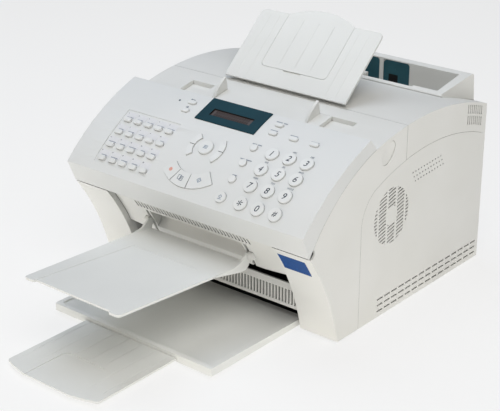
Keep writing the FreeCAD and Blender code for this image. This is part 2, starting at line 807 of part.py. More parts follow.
def oval(length, width, z0, z1):
    r = width / 2
    half = length / 2 - r
    block = box(-half, half, -r, r, z0, z1)
    ends = [Part.makeCylinder(r, z1 - z0, V(x, 0, z0)) for x in (-half, half)]
    return block.fuse(ends).removeSplitter()


def soft_top(solid, z1, radius):
    edges = [e for e in solid.Edges if all(abs(v.Z - z1) < 1e-6 for v in e.Vertexes)]
    return solid.makeFillet(radius, edges)


def round_key(radius):
    cap = soft_top(disc(radius, -key_seat - key_flange, key_height), key_height, 0.8)
    return cap.fuse(disc(radius + 1, -key_seat - key_flange, -key_seat)).removeSplitter()


def oval_key():
    cap = soft_top(oval(oval_length, oval_width, -key_seat - key_flange, key_height), key_height, 0.7)
    return cap.fuse(oval(oval_length + 1.6, oval_width + 1.6, -key_seat - key_flange, -key_seat)).removeSplitter()


def flat_key(inner, outer, start, end, proud):
    cap = sector_key(inner, outer, start, end, 0.0, -key_seat - key_flange, proud)
    base = sector_key(inner, outer, start, end, -0.3, -key_seat - 2 * key_flange, -key_seat)
    return cap.fuse(base).removeSplitter()


def number_places():
    """Name, x and s of each number key, row by row from the front."""
    rows = (("star", "0", "hash"), ("7", "8", "9"), ("4", "5", "6"), ("1", "2", "3"))
    for row, names in enumerate(rows):
        for column, name in enumerate(names):
            yield name, number_x + column * number_pitch_x, number_s + row * number_pitch_s


def one_touch_places(row):
    s = one_touch_s + row * one_touch_pitch_s
    return [(one_touch_x + n * one_touch_pitch_x, s) for n in range(one_touch_columns)]


def scroll_sectors():
    return {"left": ((180 - scroll_angle, 180), (180, 180 + scroll_angle)),
            "right": ((-scroll_angle, 0), (0, scroll_angle))}


def key_holes():
    """Holes for every key through the face of the panel."""
    low = -wall - 6
    high = key_height + 6
    holes = []
    for name, x, s in number_places():
        holes.append(stand(disc(number_radius + slip, low, high), x, s))
    holes.append(stand(disc(round_radius + slip, low, high), round_x, number_s))
    holes.append(stand(disc(menu_radius + slip, low, high), menu_x, menu_s))
    for row in range(4):
        for x, s in one_touch_places(row):
            holes.append(stand(oval(oval_length + 2 * slip, oval_width + 2 * slip, low, high), x, s))
    for x, s in function_ovals + tuple((status_x, s) for s in status_s):
        holes.append(stand(oval(oval_length + 2 * slip, oval_width + 2 * slip, low, high), x, s))
    for x, s in function_rounds:
        holes.append(stand(disc(function_round_radius + slip, low, high), x, s))
    for pair in scroll_sectors().values():
        for start, end in pair:
            holes.append(stand(sector_key(scroll_inner, scroll_outer, start, end, slip, low, high), menu_x, menu_s))
    for start, end in zip(command_limits, command_limits[1:]):
        holes.append(stand_command(sector_key(command_inner, command_outer, start, end, slip, low, high)))
    return holes


def control_panel():
    """A deep curved slab, hollow under its face, that swings up about pins at its front edge."""
    sill = seam / 2
    slab = outline(panel_front, (bow(panel_front, panel_back, panel_crown), panel_back), (seat_back,),
                   (bow(column_top, seat_back, seat_crown), column_top))
    slab = inset(slab, sill)
    hollow = inset(slab, wall)
    drop = hollow.copy()
    chord = math.atan2(seat_back_z - column_height, seat_back_y + column_lean)
    drop.translate(V(0, 2 * wall * math.sin(chord), -2 * wall * math.cos(chord)))
    half = half_width - wall
    panel = across(slab, -half_width, half_width)
    panel = panel.cut(across(hollow, -half, half)).cut(across(drop, -half, half))
    mouth = curved_plate(seat_face, panel_back_y - 12, seat_back_y + 4, mouth_height + 6, -mouth_height)
    panel = panel.cut(across(mouth, -mouth_half, mouth_half))
    bezel_bed = box(-bezel_width / 2 - seam / 2, bezel_width / 2 + seam / 2, -bezel_length / 2 - seam / 2,
                    bezel_length / 2 + seam / 2, -bezel_sink, 20)
    view = box(-window_width / 2 - 1, window_width / 2 + 1, -window_length / 2 - 1, window_length / 2 + 1, -wall - 6, 20)
    cuts = key_holes() + [stand(bezel_bed, bezel_x, bezel_s), stand(view, bezel_x, window_s)]
    panel = panel.cut(Part.makeCompound(cuts))
    lugs = []
    reliefs = []
    for x in (-panel_lug_x, panel_lug_x):
        inner = panel_lug_width / 2 + slip
        for x0, x1 in ((x - inner - wall, x - inner), (x + inner, x + inner + wall)):
            lug = rod(panel_pin_radius + 1.5, x0, x1, panel_pin_y, panel_pin_z)
            web = box(x0, x1, panel_pin_y - panel_pin_radius - 1.5, panel_pin_y + 4, panel_pin_z, panel_pin_z + 22)
            lugs.append(lug.fuse(web).common(across(slab, -half_width, half_width).fuse(
                rod(panel_pin_radius + 1.5, x0, x1, panel_pin_y, panel_pin_z))))
        lugs.append(rod(panel_pin_radius, x - inner - wall, x + inner + wall, panel_pin_y, panel_pin_z))
        reliefs.append(rod(panel_pin_radius + 2 + slip, x - inner, x + inner, panel_pin_y, panel_pin_z))
    return fused([panel.cut(Part.makeCompound(reliefs))] + lugs)


def lcd_bezel():
    plate = box(-bezel_width / 2, bezel_width / 2, -bezel_length / 2, bezel_length / 2, -bezel_sink, bezel_proud)
    plate = soft_top(plate, bezel_proud, 0.6)
    offset = window_s - bezel_s
    window = box(-window_width / 2, window_width / 2, offset - window_length / 2, offset + window_length / 2, -20, 20)
    return stand(plate.cut(window), bezel_x, bezel_s)


def lcd_module():
    """The display: a glass that stands in the bezel window, on a board under the panel face."""
    glass = box(-window_width / 2 + slip, window_width / 2 - slip, -window_length / 2 + slip, window_length / 2 - slip,
                -wall - 4, -0.8)
    board = box(-window_width / 2 - 6, window_width / 2 + 6, -window_length / 2 - 8, window_length / 2 + 8,
                -wall - 4, -wall - 0.8)
    return stand(fused([glass, board]), bezel_x, window_s)


def document_exit_tray():
    """A thin tray with ribs, side skirts that deepen towards the machine and two pivot arms."""
    rear = (exit_tray_rear_y, exit_tray_rear_z)
    front = (exit_tray_front_y, exit_tray_front_z)
    skirt = outline(rear, (front,), ((front[0], front[1] - exit_tray_skirt),),
                    ((rear[0] - 60, rear[1] - exit_tray_skirt),), ((rear[0] - 14, rear[1] - exit_tray_skirt_rear),),
                    ((rear[0] - 4, rear[1] - exit_tray_skirt_rear + 6),))
    taper = Part.Face(Part.makePolygon([V(-exit_tray_half, rear[0], 0), V(exit_tray_half, rear[0], 0),
                                        V(exit_tray_front_half, front[0], 0), V(-exit_tray_front_half, front[0], 0),
                                        V(-exit_tray_half, rear[0], 0)])).extrude(V(0, 0, 400))
    core = Part.Face(Part.makePolygon([V(-exit_tray_half + wall, rear[0] + 9, 0), V(exit_tray_half - wall, rear[0] + 9, 0),
                                       V(exit_tray_front_half - wall, front[0] + wall, 0),
                                       V(-exit_tray_front_half + wall, front[0] + wall, 0),
                                       V(-exit_tray_half + wall, rear[0] + 9, 0)])).extrude(V(0, 0, 400))
    body = across(skirt, -exit_tray_half, exit_tray_half).common(taper)
    under = outline((rear[0] + 10, rear[1] - exit_tray_wall), ((front[0], front[1] - exit_tray_wall),),
                    ((front[0], 0.0),), ((rear[0] + 10, 0.0),))
    body = body.cut(across(under, -exit_tray_half, exit_tray_half).common(core))
    arms = []
    for sign in (-1, 1):
        x0, x1 = sorted((sign * exit_tray_half, sign * (exit_tray_half - wall)))
        arm = outline((rear[0] - 14, rear[1] - 16), (rear,), ((exit_pin_y - 5, exit_pin_z + 4),),
                      ((exit_pin_y, exit_pin_z + 5),), ((exit_pin_y + 4, exit_pin_z),), ((exit_pin_y + 2, exit_pin_z - 6),))
        tip0, tip1 = sorted((sign * (exit_tray_half - wall), sign * (exit_tray_half + exit_pin_length)))
        arms.append(across(arm, x0, x1))
        arms.append(rod(exit_pin_radius, tip0, tip1, exit_pin_y, exit_pin_z))
    return fused([body] + arms)


def output_tray():
    """The lower tray with a raised border, fixed under the columns, and a tunnel for its extension."""
    front = output_front_y
    rear = output_rear_y
    plate = outline((front, output_top_z - 1), ((front + 4, output_top_z),), ((rear, output_rear_top_z),), ((rear, 1.0),),
                    ((front, 1.0),))
    block = across(plate, -output_half, output_half)
    bed = outline((front + output_border_width, output_top_z - output_border),
                  ((rear + 1, output_rear_top_z - output_border),), ((rear + 1, 40.0),), ((front + output_border_width, 40.0),))
    block = block.cut(across(bed, -output_half + output_border_width, output_half - output_border_width))
    tunnel_top = extension_top_z + slip
    tunnel = box(-extension_half - slip, extension_half + slip, front - 1, rear - 6, -1.0, tunnel_top)
    hollow_left = box(-output_half + output_wall, -extension_half - 4, front + output_wall, rear - 6, -1.0, 6.0)
    return block.cut(tunnel).cut(hollow_left).cut(mirrored(hollow_left))


def output_tray_extension():
    """A flat pull-out leaf with ribs and a lifted, gently bowed front edge."""
    front = extension_front_y
    tail = output_front_y + extension_tail
    left = V(-extension_half, front + 6, 0)
    right = V(extension_half, front + 6, 0)
    edges = [Part.Arc(left, V(0, front, 0), right).toShape(),
             Part.LineSegment(right, V(extension_half, tail, 0)).toShape(),
             Part.LineSegment(V(extension_half, tail, 0), V(-extension_half, tail, 0)).toShape(),
             Part.LineSegment(V(-extension_half, tail, 0), left).toShape()]
    leaf = Part.Face(Part.Wire(edges)).extrude(V(0, 0, extension_wall))
    leaf.translate(V(0, 0, extension_top_z - extension_wall))
    ribs = []
    for x in (-extension_half + 8, -extension_half / 2, 0.0, extension_half / 2, extension_half - 8):
        ribs.append(box(x - 1, x + 1, front + 12, tail - 4, 1.2, extension_top_z - extension_wall))
    return fused([leaf] + ribs)


def main_frame():
    """A moulded floor with two inner side plates that carry the rollers."""
    half = half_width - side_rim - seam
    rear = body_depth - wall - seam
    floor = box(-half, half, side_front_y + 1, rear, floor_z, floor_z + floor_wall)
    inner = column_inner - seam
    apron = box(-inner, inner, output_rear_y + slip, side_front_y + 2, floor_z, floor_z + floor_wall)
    plate = outline((30.0, floor_wall), ((22.0, 60.0),), ((-4.0, 66.0),), ((-14.0, 120.0),), ((-12.0, 176.0),),
                    ((60.0, 214.0),), ((240.0, 190.0),), ((body_depth - 20, 180.0),), ((body_depth - 20, floor_wall),))
    plates = across(plate, plate_x, plate_x + plate_wall)
    y, z = document_roller_centre()
    plates = plates.cut(rod(shaft_radius + shaft_fit, plate_x - 1, plate_x + plate_wall + 1, y, z))
    return fused([floor, apron, plates, mirrored(plates)])


def document_roller_centre():
    return (document_roller_y, seat_face.top(document_roller_y)[1] - document_roller_radius)


def roller(radius, y, z, half, tyres):
    """A shaft across the machine with rubber tyres on it."""
    shaft = rod(shaft_radius, -half, half, y, z)
    rings = [rod(radius, x - w / 2, x + w / 2, y, z) for x, w in tyres]
    return fused([shaft] + rings)


def toner_cartridge():
    """A drum and hopper cartridge between the side plates."""
    y, z = cartridge_y, cartridge_z
    r = cartridge_radius
    shape = outline((y - r, z), ((y - r * 0.7, z + r * 0.7), (y, z + r)), ((y + 3 * r, z + r * 1.2),), ((y + 3.4 * r, z),),
                    ((y + r, z - r * 0.6),), ((y, z - r), (y - r, z)))
    return across(shape, -plate_x + slip, plate_x - slip)


def laser_unit():
    lid = box(-110, 110, 130, 245, 150, 178)
    feet = box(-plate_x + slip, plate_x - slip, 140, 230, 150, 154)
    return fused([lid, feet])


def scan_bar():
    """A contact image sensor under the bed, behind the document roller."""
    y = document_roller_y + 26
    top = seat_face.top(y - 7, wall + seam / 2 + slip)[1]
    bar = box(-plate_x + slip, plate_x - slip, y - 7, y + 7, top - 16, top)
    return bar


def main_board():
    board = box(-half_width + side_rim + 6, -half_width + side_rim + 7.6, 70, 300, 12, 150)
    chips = [box(-half_width + side_rim + 7.6, -half_width + side_rim + 11, y, y + 28, z, z + 28)
             for y, z in ((100, 40), (160, 60), (220, 40), (160, 105))]
    posts = [box(-half_width + side_rim + 4, -half_width + side_rim + 8, y, y + 6, floor_wall + 0.5, 13) for y in (80, 280)]
    return fused([board] + chips + posts)


def power_supply():
    base = box(-60, 60, 250, 320, 0.5 + floor_wall, 0.5 + floor_wall + 2)
    block = box(-56, 56, 256, 314, 5, 48)
    return fused([base, block])


def cooling_fan():
    """A square fan frame on the inside of the right cover, with a motor stub on spokes."""
    x1 = half_width - wall
    x0 = x1 - fan_frame_depth
    edge = fan_radius + 3
    frame = box(x0, x1, fan_y - edge, fan_y + edge, fan_z - edge, fan_z + edge)
    frame = frame.cut(rod(fan_radius, x0 - 1, x1 + 1, fan_y, fan_z))
    spokes = []
    for turn in (0, 90):
        spoke = box(x0, x0 + 2.5, -fan_radius - 1, fan_radius + 1, -2, 2)
        spoke.rotate(V(0, 0, 0), V(1, 0, 0), turn + 45)
        spoke.translate(V(0, fan_y, fan_z))
        spokes.append(spoke)
    pin = rod(2.0, x0, x1 - 4, fan_y, fan_z)
    return fused([frame] + spokes + [pin])


def fan_rotor():
    x1 = half_width - wall - 3
    x0 = x1 - fan_frame_depth + 6.5
    hub = rod(fan_hub, x0, x1, 0, 0).cut(rod(2.0 + shaft_fit, x0 - 1, x1 - 0.9, 0, 0))
    blades = []
    for n in range(7):
        blade = box(x0 + 1, x1 - 1, fan_hub - 1, fan_radius - 1.5, -1, 1)
        blade.rotate(V((x0 + x1) / 2, 0, 0), V(0, 1, 0), 38)
        blade.rotate(V(0, 0, 0), V(1, 0, 0), n * 360 / 7)
        blades.append(blade)
    rotor = fused([hub] + blades)
    rotor.translate(V(0, fan_y, fan_z))
    return rotor


def loudspeaker():
    x1 = half_width - wall
    y = dot_y + dot_columns * dot_pitch / 2
    z = dot_z - dot_pitch - 12
    basket = Part.makeCone(16, 26, 14, V(x1 - 16, y, z), V(1, 0, 0))
    rim = rod(26, x1 - 2.5, x1, y, z)
    magnet = rod(13, x1 - 26, x1 - 15, y, z)
    return fused([basket, rim, magnet])


def feet():
    """Round rubber feet under the floor and under the columns."""
    return Part.makeCompound([Part.makeCylinder(foot_radius, foot_height + floor_z, V(x, y, -foot_height))
                              for x, y in foot_places])


def case_screws():
    """Pan-head screws in the rear cover."""
    screws = []
    for x, z in ((-170, 20), (170, 20), (-170, 170), (170, 170)):
        head = Part.makeCylinder(3.5, 2.0, V(x, body_depth - seam, z), V(0, 1, 0))
        slot = box(x - 3, x + 3, body_depth - seam + 1.2, body_depth + 5, z - 0.5, z + 0.5)
        screws.append(head.cut(slot))
    return Part.makeCompound(screws)


os.makedirs("parts", exist_ok=True)

right_cover = side_cover([fan_slots()] + speaker_dots())
export("right_side_cover", right_cover)
export("left_side_cover", mirrored(side_cover([])))
export("main_frame", main_frame())
export("front_frame", front_frame())
export("front_cover", front_cover())
export("front_grille", front_grille())
export("top_cover", top_cover())
export("rear_cover", rear_cover())
export("sheet_feeder", sheet_feeder())
export("feeder_pads", feeder_pads())
export("sheet_guide", sheet_guide())
export("document_tray", document_tray())
export("document_tray_flap", document_tray_flap())
export("document_guide_right", document_guide())
export("document_guide_left", mirrored(document_guide()))
export("control_panel", control_panel())
export("lcd_bezel", lcd_bezel())
export("lcd_module", lcd_module())
export("cover_release", cover_release())
export("document_exit_tray", document_exit_tray())
export("output_tray", output_tray())
export("output_tray_extension", output_tray_extension())
export("feet", feet())
export("case_screws", case_screws())
export("rear_sockets", rear_sockets())
export("main_board", main_board())
export("power_supply", power_supply())
export("cooling_fan", cooling_fan())
export("fan_rotor", fan_rotor())
export("loudspeaker", loudspeaker())
export("toner_cartridge", toner_cartridge())
export("laser_unit", laser_unit())
export("scan_bar", scan_bar())
roller_y, roller_z = document_roller_centre()
export("document_roller", roller(document_roller_radius, roller_y, roller_z, plate_x + plate_wall,
                                 ((-60, 40), (0, 40), (60, 40))))
export("print_exit_roller", roller(exit_roller_radius, exit_roller_y, exit_roller_z, column_inner + wall,
                                   ((-70, 24), (0, 24), (70, 24))))
export("sheet_pickup_roller", roller(pickup_radius, pickup_y, pickup_z, feeder_half - feeder_side / 2,
                                     ((-18, 20), (18, 20))))

for name, x, s in number_places():
    export("key_" + name, stand(round_key(number_radius), x, s))
for row in range(4):
    caps = [stand(oval_key(), x, s) for x, s in one_touch_places(row)]
    export("one_touch_row_%d" % (row + 1), Part.makeCompound(caps))
for name, start, end in zip(("stop_key", "copy_key", "start_key"), command_limits, command_limits[1:]):
    export(name, stand_command(flat_key(command_inner, command_outer, start, end, command_proud)))
export("menu_key", stand(round_key(menu_radius), menu_x, menu_s))
for name, pair in scroll_sectors().items():
    caps = [stand(flat_key(scroll_inner, scroll_outer, start, end, scroll_proud), menu_x, menu_s) for start, end in pair]
    export("scroll_keys_" + name, Part.makeCompound(caps))
export("line_key", stand(round_key(round_radius), round_x, number_s))
function_caps = [stand(oval_key(), x, s) for x, s in function_ovals]
function_caps += [stand(round_key(function_round_radius), x, s) for x, s in function_rounds]
function_caps += [stand(oval_key(), status_x, s) for s in status_s]
export("function_keys", Part.makeCompound(function_caps))
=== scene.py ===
import json
import math

import bmesh
import bpy
from mathutils import Matrix, Vector
from mathutils.bvhtree import BVHTree

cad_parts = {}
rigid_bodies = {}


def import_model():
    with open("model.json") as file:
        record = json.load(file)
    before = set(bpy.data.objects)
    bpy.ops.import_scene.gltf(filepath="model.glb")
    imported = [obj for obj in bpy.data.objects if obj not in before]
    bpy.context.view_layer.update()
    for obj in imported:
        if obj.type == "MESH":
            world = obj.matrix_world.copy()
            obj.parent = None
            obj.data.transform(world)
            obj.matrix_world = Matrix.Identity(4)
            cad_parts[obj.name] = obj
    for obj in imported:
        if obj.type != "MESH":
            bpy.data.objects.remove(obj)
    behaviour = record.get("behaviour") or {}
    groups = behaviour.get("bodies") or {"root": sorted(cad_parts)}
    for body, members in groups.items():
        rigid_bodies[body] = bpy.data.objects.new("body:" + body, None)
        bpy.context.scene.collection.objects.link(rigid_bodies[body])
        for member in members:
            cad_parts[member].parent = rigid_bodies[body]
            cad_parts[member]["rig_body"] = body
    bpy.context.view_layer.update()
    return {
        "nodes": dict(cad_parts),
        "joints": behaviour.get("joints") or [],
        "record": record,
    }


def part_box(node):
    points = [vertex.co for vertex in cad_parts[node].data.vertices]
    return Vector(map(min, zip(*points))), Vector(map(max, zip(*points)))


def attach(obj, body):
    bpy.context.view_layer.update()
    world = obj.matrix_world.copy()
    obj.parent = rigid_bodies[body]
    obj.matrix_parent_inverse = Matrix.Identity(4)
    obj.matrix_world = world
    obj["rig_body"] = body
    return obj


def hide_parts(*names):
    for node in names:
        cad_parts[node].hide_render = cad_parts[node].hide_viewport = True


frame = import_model()
nodes = frame["nodes"]
scene = bpy.context.scene
mm = 0.001
print("frame loaded:", len(nodes), "nodes")


def linear(hexText):  # sRGB hex to the linear colour a shader takes
    channels = [int(hexText[i:i + 2], 16) / 255 for i in (1, 3, 5)]
    return [c / 12.92 if c <= 0.04045 else ((c + 0.055) / 1.055) ** 2.4 for c in channels] + [1.0]


def addNode(tree, kind, settings=None, links=None):  # one shader node with its settings and links
    node = tree.nodes.new(kind)
    for name, value in (settings or {}).items():
        if isinstance(name, int) or name in node.inputs:
            node.inputs[name].default_value = value
        else:
            setattr(node, name, value)
    for name, output in (links or {}).items():
        tree.links.new(output, node.inputs[name])
    return node


def newMaterial(name):
    material = bpy.data.materials.new(name)
    material.use_nodes = True
    material.node_tree.nodes.clear()
    return material


def moulded(spec):  # injection-moulded plastic: spark-eroded grain, slow drift of tone, uneven sheen
    material = newMaterial(spec["name"])
    tree = material.node_tree
    place = addNode(tree, "ShaderNodeTexCoord").outputs["Object"]
    drift = addNode(tree, "ShaderNodeTexNoise", {"Scale": 1 / (spec["driftMm"] * mm), "Detail": 2.0}, {"Vector": place})
    grain = addNode(tree, "ShaderNodeTexNoise", {"Scale": 1 / (spec["grainMm"] * mm), "Detail": 3.0}, {"Vector": place})
    tone = addNode(tree, "ShaderNodeValToRGB", links={"Fac": drift.outputs["Fac"]})
    tone.color_ramp.elements[0].position = 0.3
    tone.color_ramp.elements[0].color = linear(spec["shade"])
    tone.color_ramp.elements[1].position = 0.7
    tone.color_ramp.elements[1].color = linear(spec["colour"])
    sheen = addNode(tree, "ShaderNodeMapRange",
                    {"To Min": spec["roughness"] - 0.06, "To Max": spec["roughness"] + 0.06},
                    {"Value": grain.outputs["Fac"]})
    relief = addNode(tree, "ShaderNodeBump", {"Strength": spec["relief"], "Distance": spec["grainDepthMm"] * mm},
                     {"Height": grain.outputs["Fac"]})
    colour = tone.outputs["Color"]
    if "creviceMm" in spec:  # painted shade: colour darkened in gaps, slots and round caps, where shade falls
        room = addNode(tree, "ShaderNodeAmbientOcclusion", {"samples": 8, "Distance": spec["creviceMm"] * mm})
        paintedShadeFactor = addNode(tree, "ShaderNodeMapRange", {"From Min": 0.2, "From Max": 0.62, "To Min": 0.22, "To Max": 1.0},
                       {"Value": room.outputs["AO"]})
        colour = addNode(tree, "ShaderNodeVectorMath", {"operation": "SCALE"},
                         {"Vector": colour, "Scale": paintedShadeFactor.outputs["Result"]}).outputs["Vector"]
    body = addNode(tree, "ShaderNodeBsdfPrincipled",
                   {"IOR": spec["ior"], "Specular IOR Level": spec.get("specular", 0.5)},
                   {"Base Color": colour, "Roughness": sheen.outputs["Result"], "Normal": relief.outputs["Normal"]})
    addNode(tree, "ShaderNodeOutputMaterial", links={"Surface": body.outputs["BSDF"]})
    return material


# Each finish is a common moulding resin. The grain is drawn coarser than the real 0.1 mm so that it shows.
finishes = {
    "case_plastic": moulded({  # ABS housing, fine matt grain, warm grey
        "name": "warmGreyAbs", "colour": "#DEDEDB", "shade": "#DADAD6", "driftMm": 90, "grainMm": 0.8,
        "grainDepthMm": 0.05, "relief": 0.35, "roughness": 0.52, "ior": 1.53, "creviceMm": 3.5}),
    "panel_plastic": moulded({  # ABS panel, smoother and cooler
        "name": "coolGreyAbs", "colour": "#D8D9D8", "shade": "#D3D5D4", "driftMm": 110, "grainMm": 0.7,
        "grainDepthMm": 0.04, "relief": 0.3, "roughness": 0.5, "ior": 1.53, "creviceMm": 3.0}),
    "tray_plastic": moulded({  # polystyrene trays, a little greener and shinier
        "name": "trayPolystyrene", "colour": "#DFE0DD", "shade": "#DADBD8", "driftMm": 120, "grainMm": 0.8,
        "grainDepthMm": 0.04, "relief": 0.3, "roughness": 0.44, "ior": 1.59}),
    "key_plastic": moulded({  # key caps, satin from use
        "name": "keyAbs", "colour": "#DCDDDC", "shade": "#D6D8D7", "driftMm": 25, "grainMm": 0.6,
        "grainDepthMm": 0.03, "relief": 0.25, "roughness": 0.42, "ior": 1.53, "creviceMm": 3.0}),
    "bezel_plastic": moulded({  # display surround, satin back-painted acrylic
        "name": "tealAcrylic", "colour": "#0E3A45", "shade": "#0B323D", "driftMm": 45, "grainMm": 0.9,
        "grainDepthMm": 0.02, "relief": 0.2, "roughness": 0.5, "ior": 1.49, "specular": 0.12}),
    "display_glass": moulded({  # liquid crystal glass, unlit and brown
        "name": "displayGlass", "colour": "#40332F", "shade": "#382C29", "driftMm": 20, "grainMm": 1.2,
        "grainDepthMm": 0.01, "relief": 0.1, "roughness": 0.3, "ior": 1.52, "specular": 0.3}),
    "pad_plastic": moulded({  # dark green-blue slip pads
        "name": "padAcetal", "colour": "#2F5A64", "shade": "#284E59", "driftMm": 40, "grainMm": 0.7,
        "grainDepthMm": 0.04, "relief": 0.3, "roughness": 0.45, "ior": 1.48, "specular": 0.3}),
    "rubber": moulded({  # grey-black rubber, dull and slightly chalky
        "name": "rollerRubber", "colour": "#34363A", "shade": "#2A2B2E", "driftMm": 12, "grainMm": 0.9,
        "grainDepthMm": 0.08, "relief": 0.5, "roughness": 0.78, "ior": 1.52}),
    "dark_plastic": moulded({  # black ABS inside
        "name": "blackAbs", "colour": "#1C1D1F", "shade": "#161718", "driftMm": 50, "grainMm": 0.8,
        "grainDepthMm": 0.05, "relief": 0.35, "roughness": 0.55, "ior": 1.53}),
    "board": moulded({  # circuit board under solder resist
        "name": "boardResist", "colour": "#24583C", "shade": "#1C4A31", "driftMm": 9, "grainMm": 1.6,
        "grainDepthMm": 0.06, "relief": 0.3, "roughness": 0.35, "ior": 1.5}),
}


def brushedSteel(spec):  # cold-rolled steel: faint rolling lines, mild sheen
    material = newMaterial(spec["name"])
    tree = material.node_tree
    place = addNode(tree, "ShaderNodeTexCoord").outputs["Object"]
    stretch = addNode(tree, "ShaderNodeMapping", {"Scale": (0.05, 1.0, 1.0)}, {"Vector": place})
    lines = addNode(tree, "ShaderNodeTexNoise", {"Scale": 1 / (spec["lineMm"] * mm), "Detail": 2.0},
                    {"Vector": stretch.outputs["Vector"]})
    sheen = addNode(tree, "ShaderNodeMapRange", {"To Min": 0.25, "To Max": 0.42}, {"Value": lines.outputs["Fac"]})
    body = addNode(tree, "ShaderNodeBsdfPrincipled", {"Base Color": linear(spec["colour"]), "Metallic": 1.0},
                   {"Roughness": sheen.outputs["Result"]})
    addNode(tree, "ShaderNodeOutputMaterial", links={"Surface": body.outputs["BSDF"]})
    return material


finishes["steel"] = brushedSteel({"name": "rolledSteel", "colour": "#B9BBBD", "lineMm": 0.6})

inkSheet = {"driftMm": 3, "grainMm": 0.5, "grainDepthMm": 0.01, "relief": 0.1, "roughness": 0.6, "ior": 1.5,
            "specular": 0.3}
inkTones = {  # pad-printed ink: thin, flat, slightly uneven
    "digit": ("slateInk", "#2C3848", "#252F3D"), "caption": ("greyInk", "#9BA2AC", "#8F96A0"),
    "icon": ("blueGreyInk", "#70839A", "#64778E"), "copy": ("darkGreyInk", "#6D7886", "#616B78"),
    "stop": ("paleRedInk", "#DBA597", "#D49A8C"), "film": ("navyFilm", "#1D4F92", "#194682"),
    "filmEdge": ("paleBlueFilm", "#5F86B4", "#557BA9"), "paper": ("labelPaper", "#DADBDD", "#D5D6D9"),
    # the black ink also serves as the painted shade lining the display well
    "lamp": ("smokedLens", "#4E6068", "#44555D"), "mask": ("blackMask", "#101112", "#0C0D0E"),
    "cell": ("displayCell", "#352A27", "#302623")}
inks = {key: moulded({"name": name, "colour": colour, "shade": shade, **inkSheet})
        for key, (name, colour, shade) in inkTones.items()}
print("finishes made:", len(finishes) + len(inks))


def camel(name):
    first, *rest = name.split("_")
    return first + "".join(word.capitalize() for word in rest)


def addPiece(name, mesh, body, material):  # a finished mesh as an object that moves with a body
    mesh.materials.clear()
    mesh.materials.append(material)
    piece = bpy.data.objects.new(name, mesh)
    scene.collection.objects.link(piece)
    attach(piece, body)
    return piece


# Eased edges: visible mouldings get a merged copy whose corners catch the light
slotOf = {part["node"]: part["material_slot"] for part in frame["record"]["subparts"]}
bodyOf = {name: node["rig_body"] for name, node in nodes.items()}
easing = {
    "edgeMm": {"left_side_cover": 0.5, "right_side_cover": 0.5, "front_frame": 0.5,
               "rear_cover": 0.4, "document_guide_left": 0.5, "document_guide_right": 0.5,
               "cover_release": 0.4, "lcd_bezel": 0.2},
    "sharpAngle": 28, "bevelAngle": 40, "segments": 2}


def eased(node, mesh, edge):  # a mesh that stands for a node, with small rounds on its edges
    mesh.shade_smooth()
    mesh.set_sharp_from_angle(angle=math.radians(easing["sharpAngle"]))
    piece = addPiece(camel(node), mesh, bodyOf[node], finishes[slotOf[node]])
    bevel = piece.modifiers.new("easedEdges", "BEVEL")
    bevel.width = edge * mm
    bevel.segments = easing["segments"]
    bevel.limit_method = "ANGLE"
    bevel.angle_limit = math.radians(easing["bevelAngle"])
    bevel.harden_normals = True
    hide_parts(node)
    return piece


def cleaned(node):  # the node's mesh with its flat areas joined
    work = bmesh.new()
    work.from_mesh(nodes[node].data)
    bmesh.ops.remove_doubles(work, verts=work.verts[:], dist=0.004 * mm)
    bmesh.ops.dissolve_limit(work, angle_limit=math.radians(0.4), verts=work.verts[:], edges=work.edges[:])
    mesh = bpy.data.meshes.new(camel(node))
    work.to_mesh(mesh)
    work.free()
    return mesh


for name, node in nodes.items():
    node.data.materials.clear()
    node.data.materials.append(finishes[slotOf[name]])
for name, edge in easing["edgeMm"].items():
    eased(name, cleaned(name), edge)
print("eased copies:", len(easing["edgeMm"]))


# Places on the curved control panel
pressAxis = {joint["child"]: Vector(joint["axis"]).normalized() for joint in frame["joints"]}
panelArc = {"front": (-93.5, 171.0), "back": (40.5, 257.0), "crown": 9.9}  # side view of the panel face, mm
chord = Vector(panelArc["back"]) - Vector(panelArc["front"])
panelArc["radius"] = (chord.length ** 2 / 4 + panelArc["crown"] ** 2) / (2 * panelArc["crown"])
outward = Vector((-chord.y, chord.x)).normalized()
panelArc["centre"] = ((Vector(panelArc["front"]) + Vector(panelArc["back"])) / 2
                      - outward * (panelArc["radius"] - panelArc["crown"]))
panelArc["startTilt"] = math.atan2(panelArc["centre"].x - panelArc["front"][0],
                                   panelArc["front"][1] - panelArc["centre"].y)


def spotMatrix(spot, normal):  # x across the machine, y up the slope, z out of the face
    right = Vector((1, 0, 0))
    up = normal.cross(right).normalized()
    return Matrix.Translation(spot) @ Matrix((up.cross(normal), up, normal)).transposed().to_4x4()


def panelSpot(x, s, lift=0.04):  # place on the panel face, x across and s up it, in mm
    tilt = panelArc["startTilt"] - s / panelArc["radius"]
    reach = panelArc["radius"] + lift
    spot = Vector((x, panelArc["centre"].x - reach * math.sin(tilt), panelArc["centre"].y + reach * math.cos(tilt)))
    return spotMatrix(spot * mm, Vector((0, -math.sin(tilt), math.cos(tilt))))


def touched(name, start, direction):  # where a straight line from start first meets a node
    mesh = nodes[name].data
    tree = BVHTree.FromPolygons([v.co for v in mesh.vertices], [p.vertices for p in mesh.polygons])
    spot, normal, index, far = tree.ray_cast(start, direction)
    return spot, normal


def capSpot(name, x, s, lift=0.04):  # place on a key cap above a spot of the panel
    above = panelSpot(x, s, 15)
    spot, normal = touched(name, above.translation, -above.col[2].to_3d())
    return spotMatrix(spot + normal * lift * mm, normal)


def keySpot(name, lift=0.04):  # middle of a key cap's top
    normal = -pressAxis[bodyOf[name]]
    points = [v.co for v in nodes[name].data.vertices]
    top = max(p.dot(normal) for p in points)
    face = [p for p in points if top - p.dot(normal) < 0.02 * mm]
    middle = sum(face, Vector()) / len(face)
    return spotMatrix(middle + normal * lift * mm, normal)


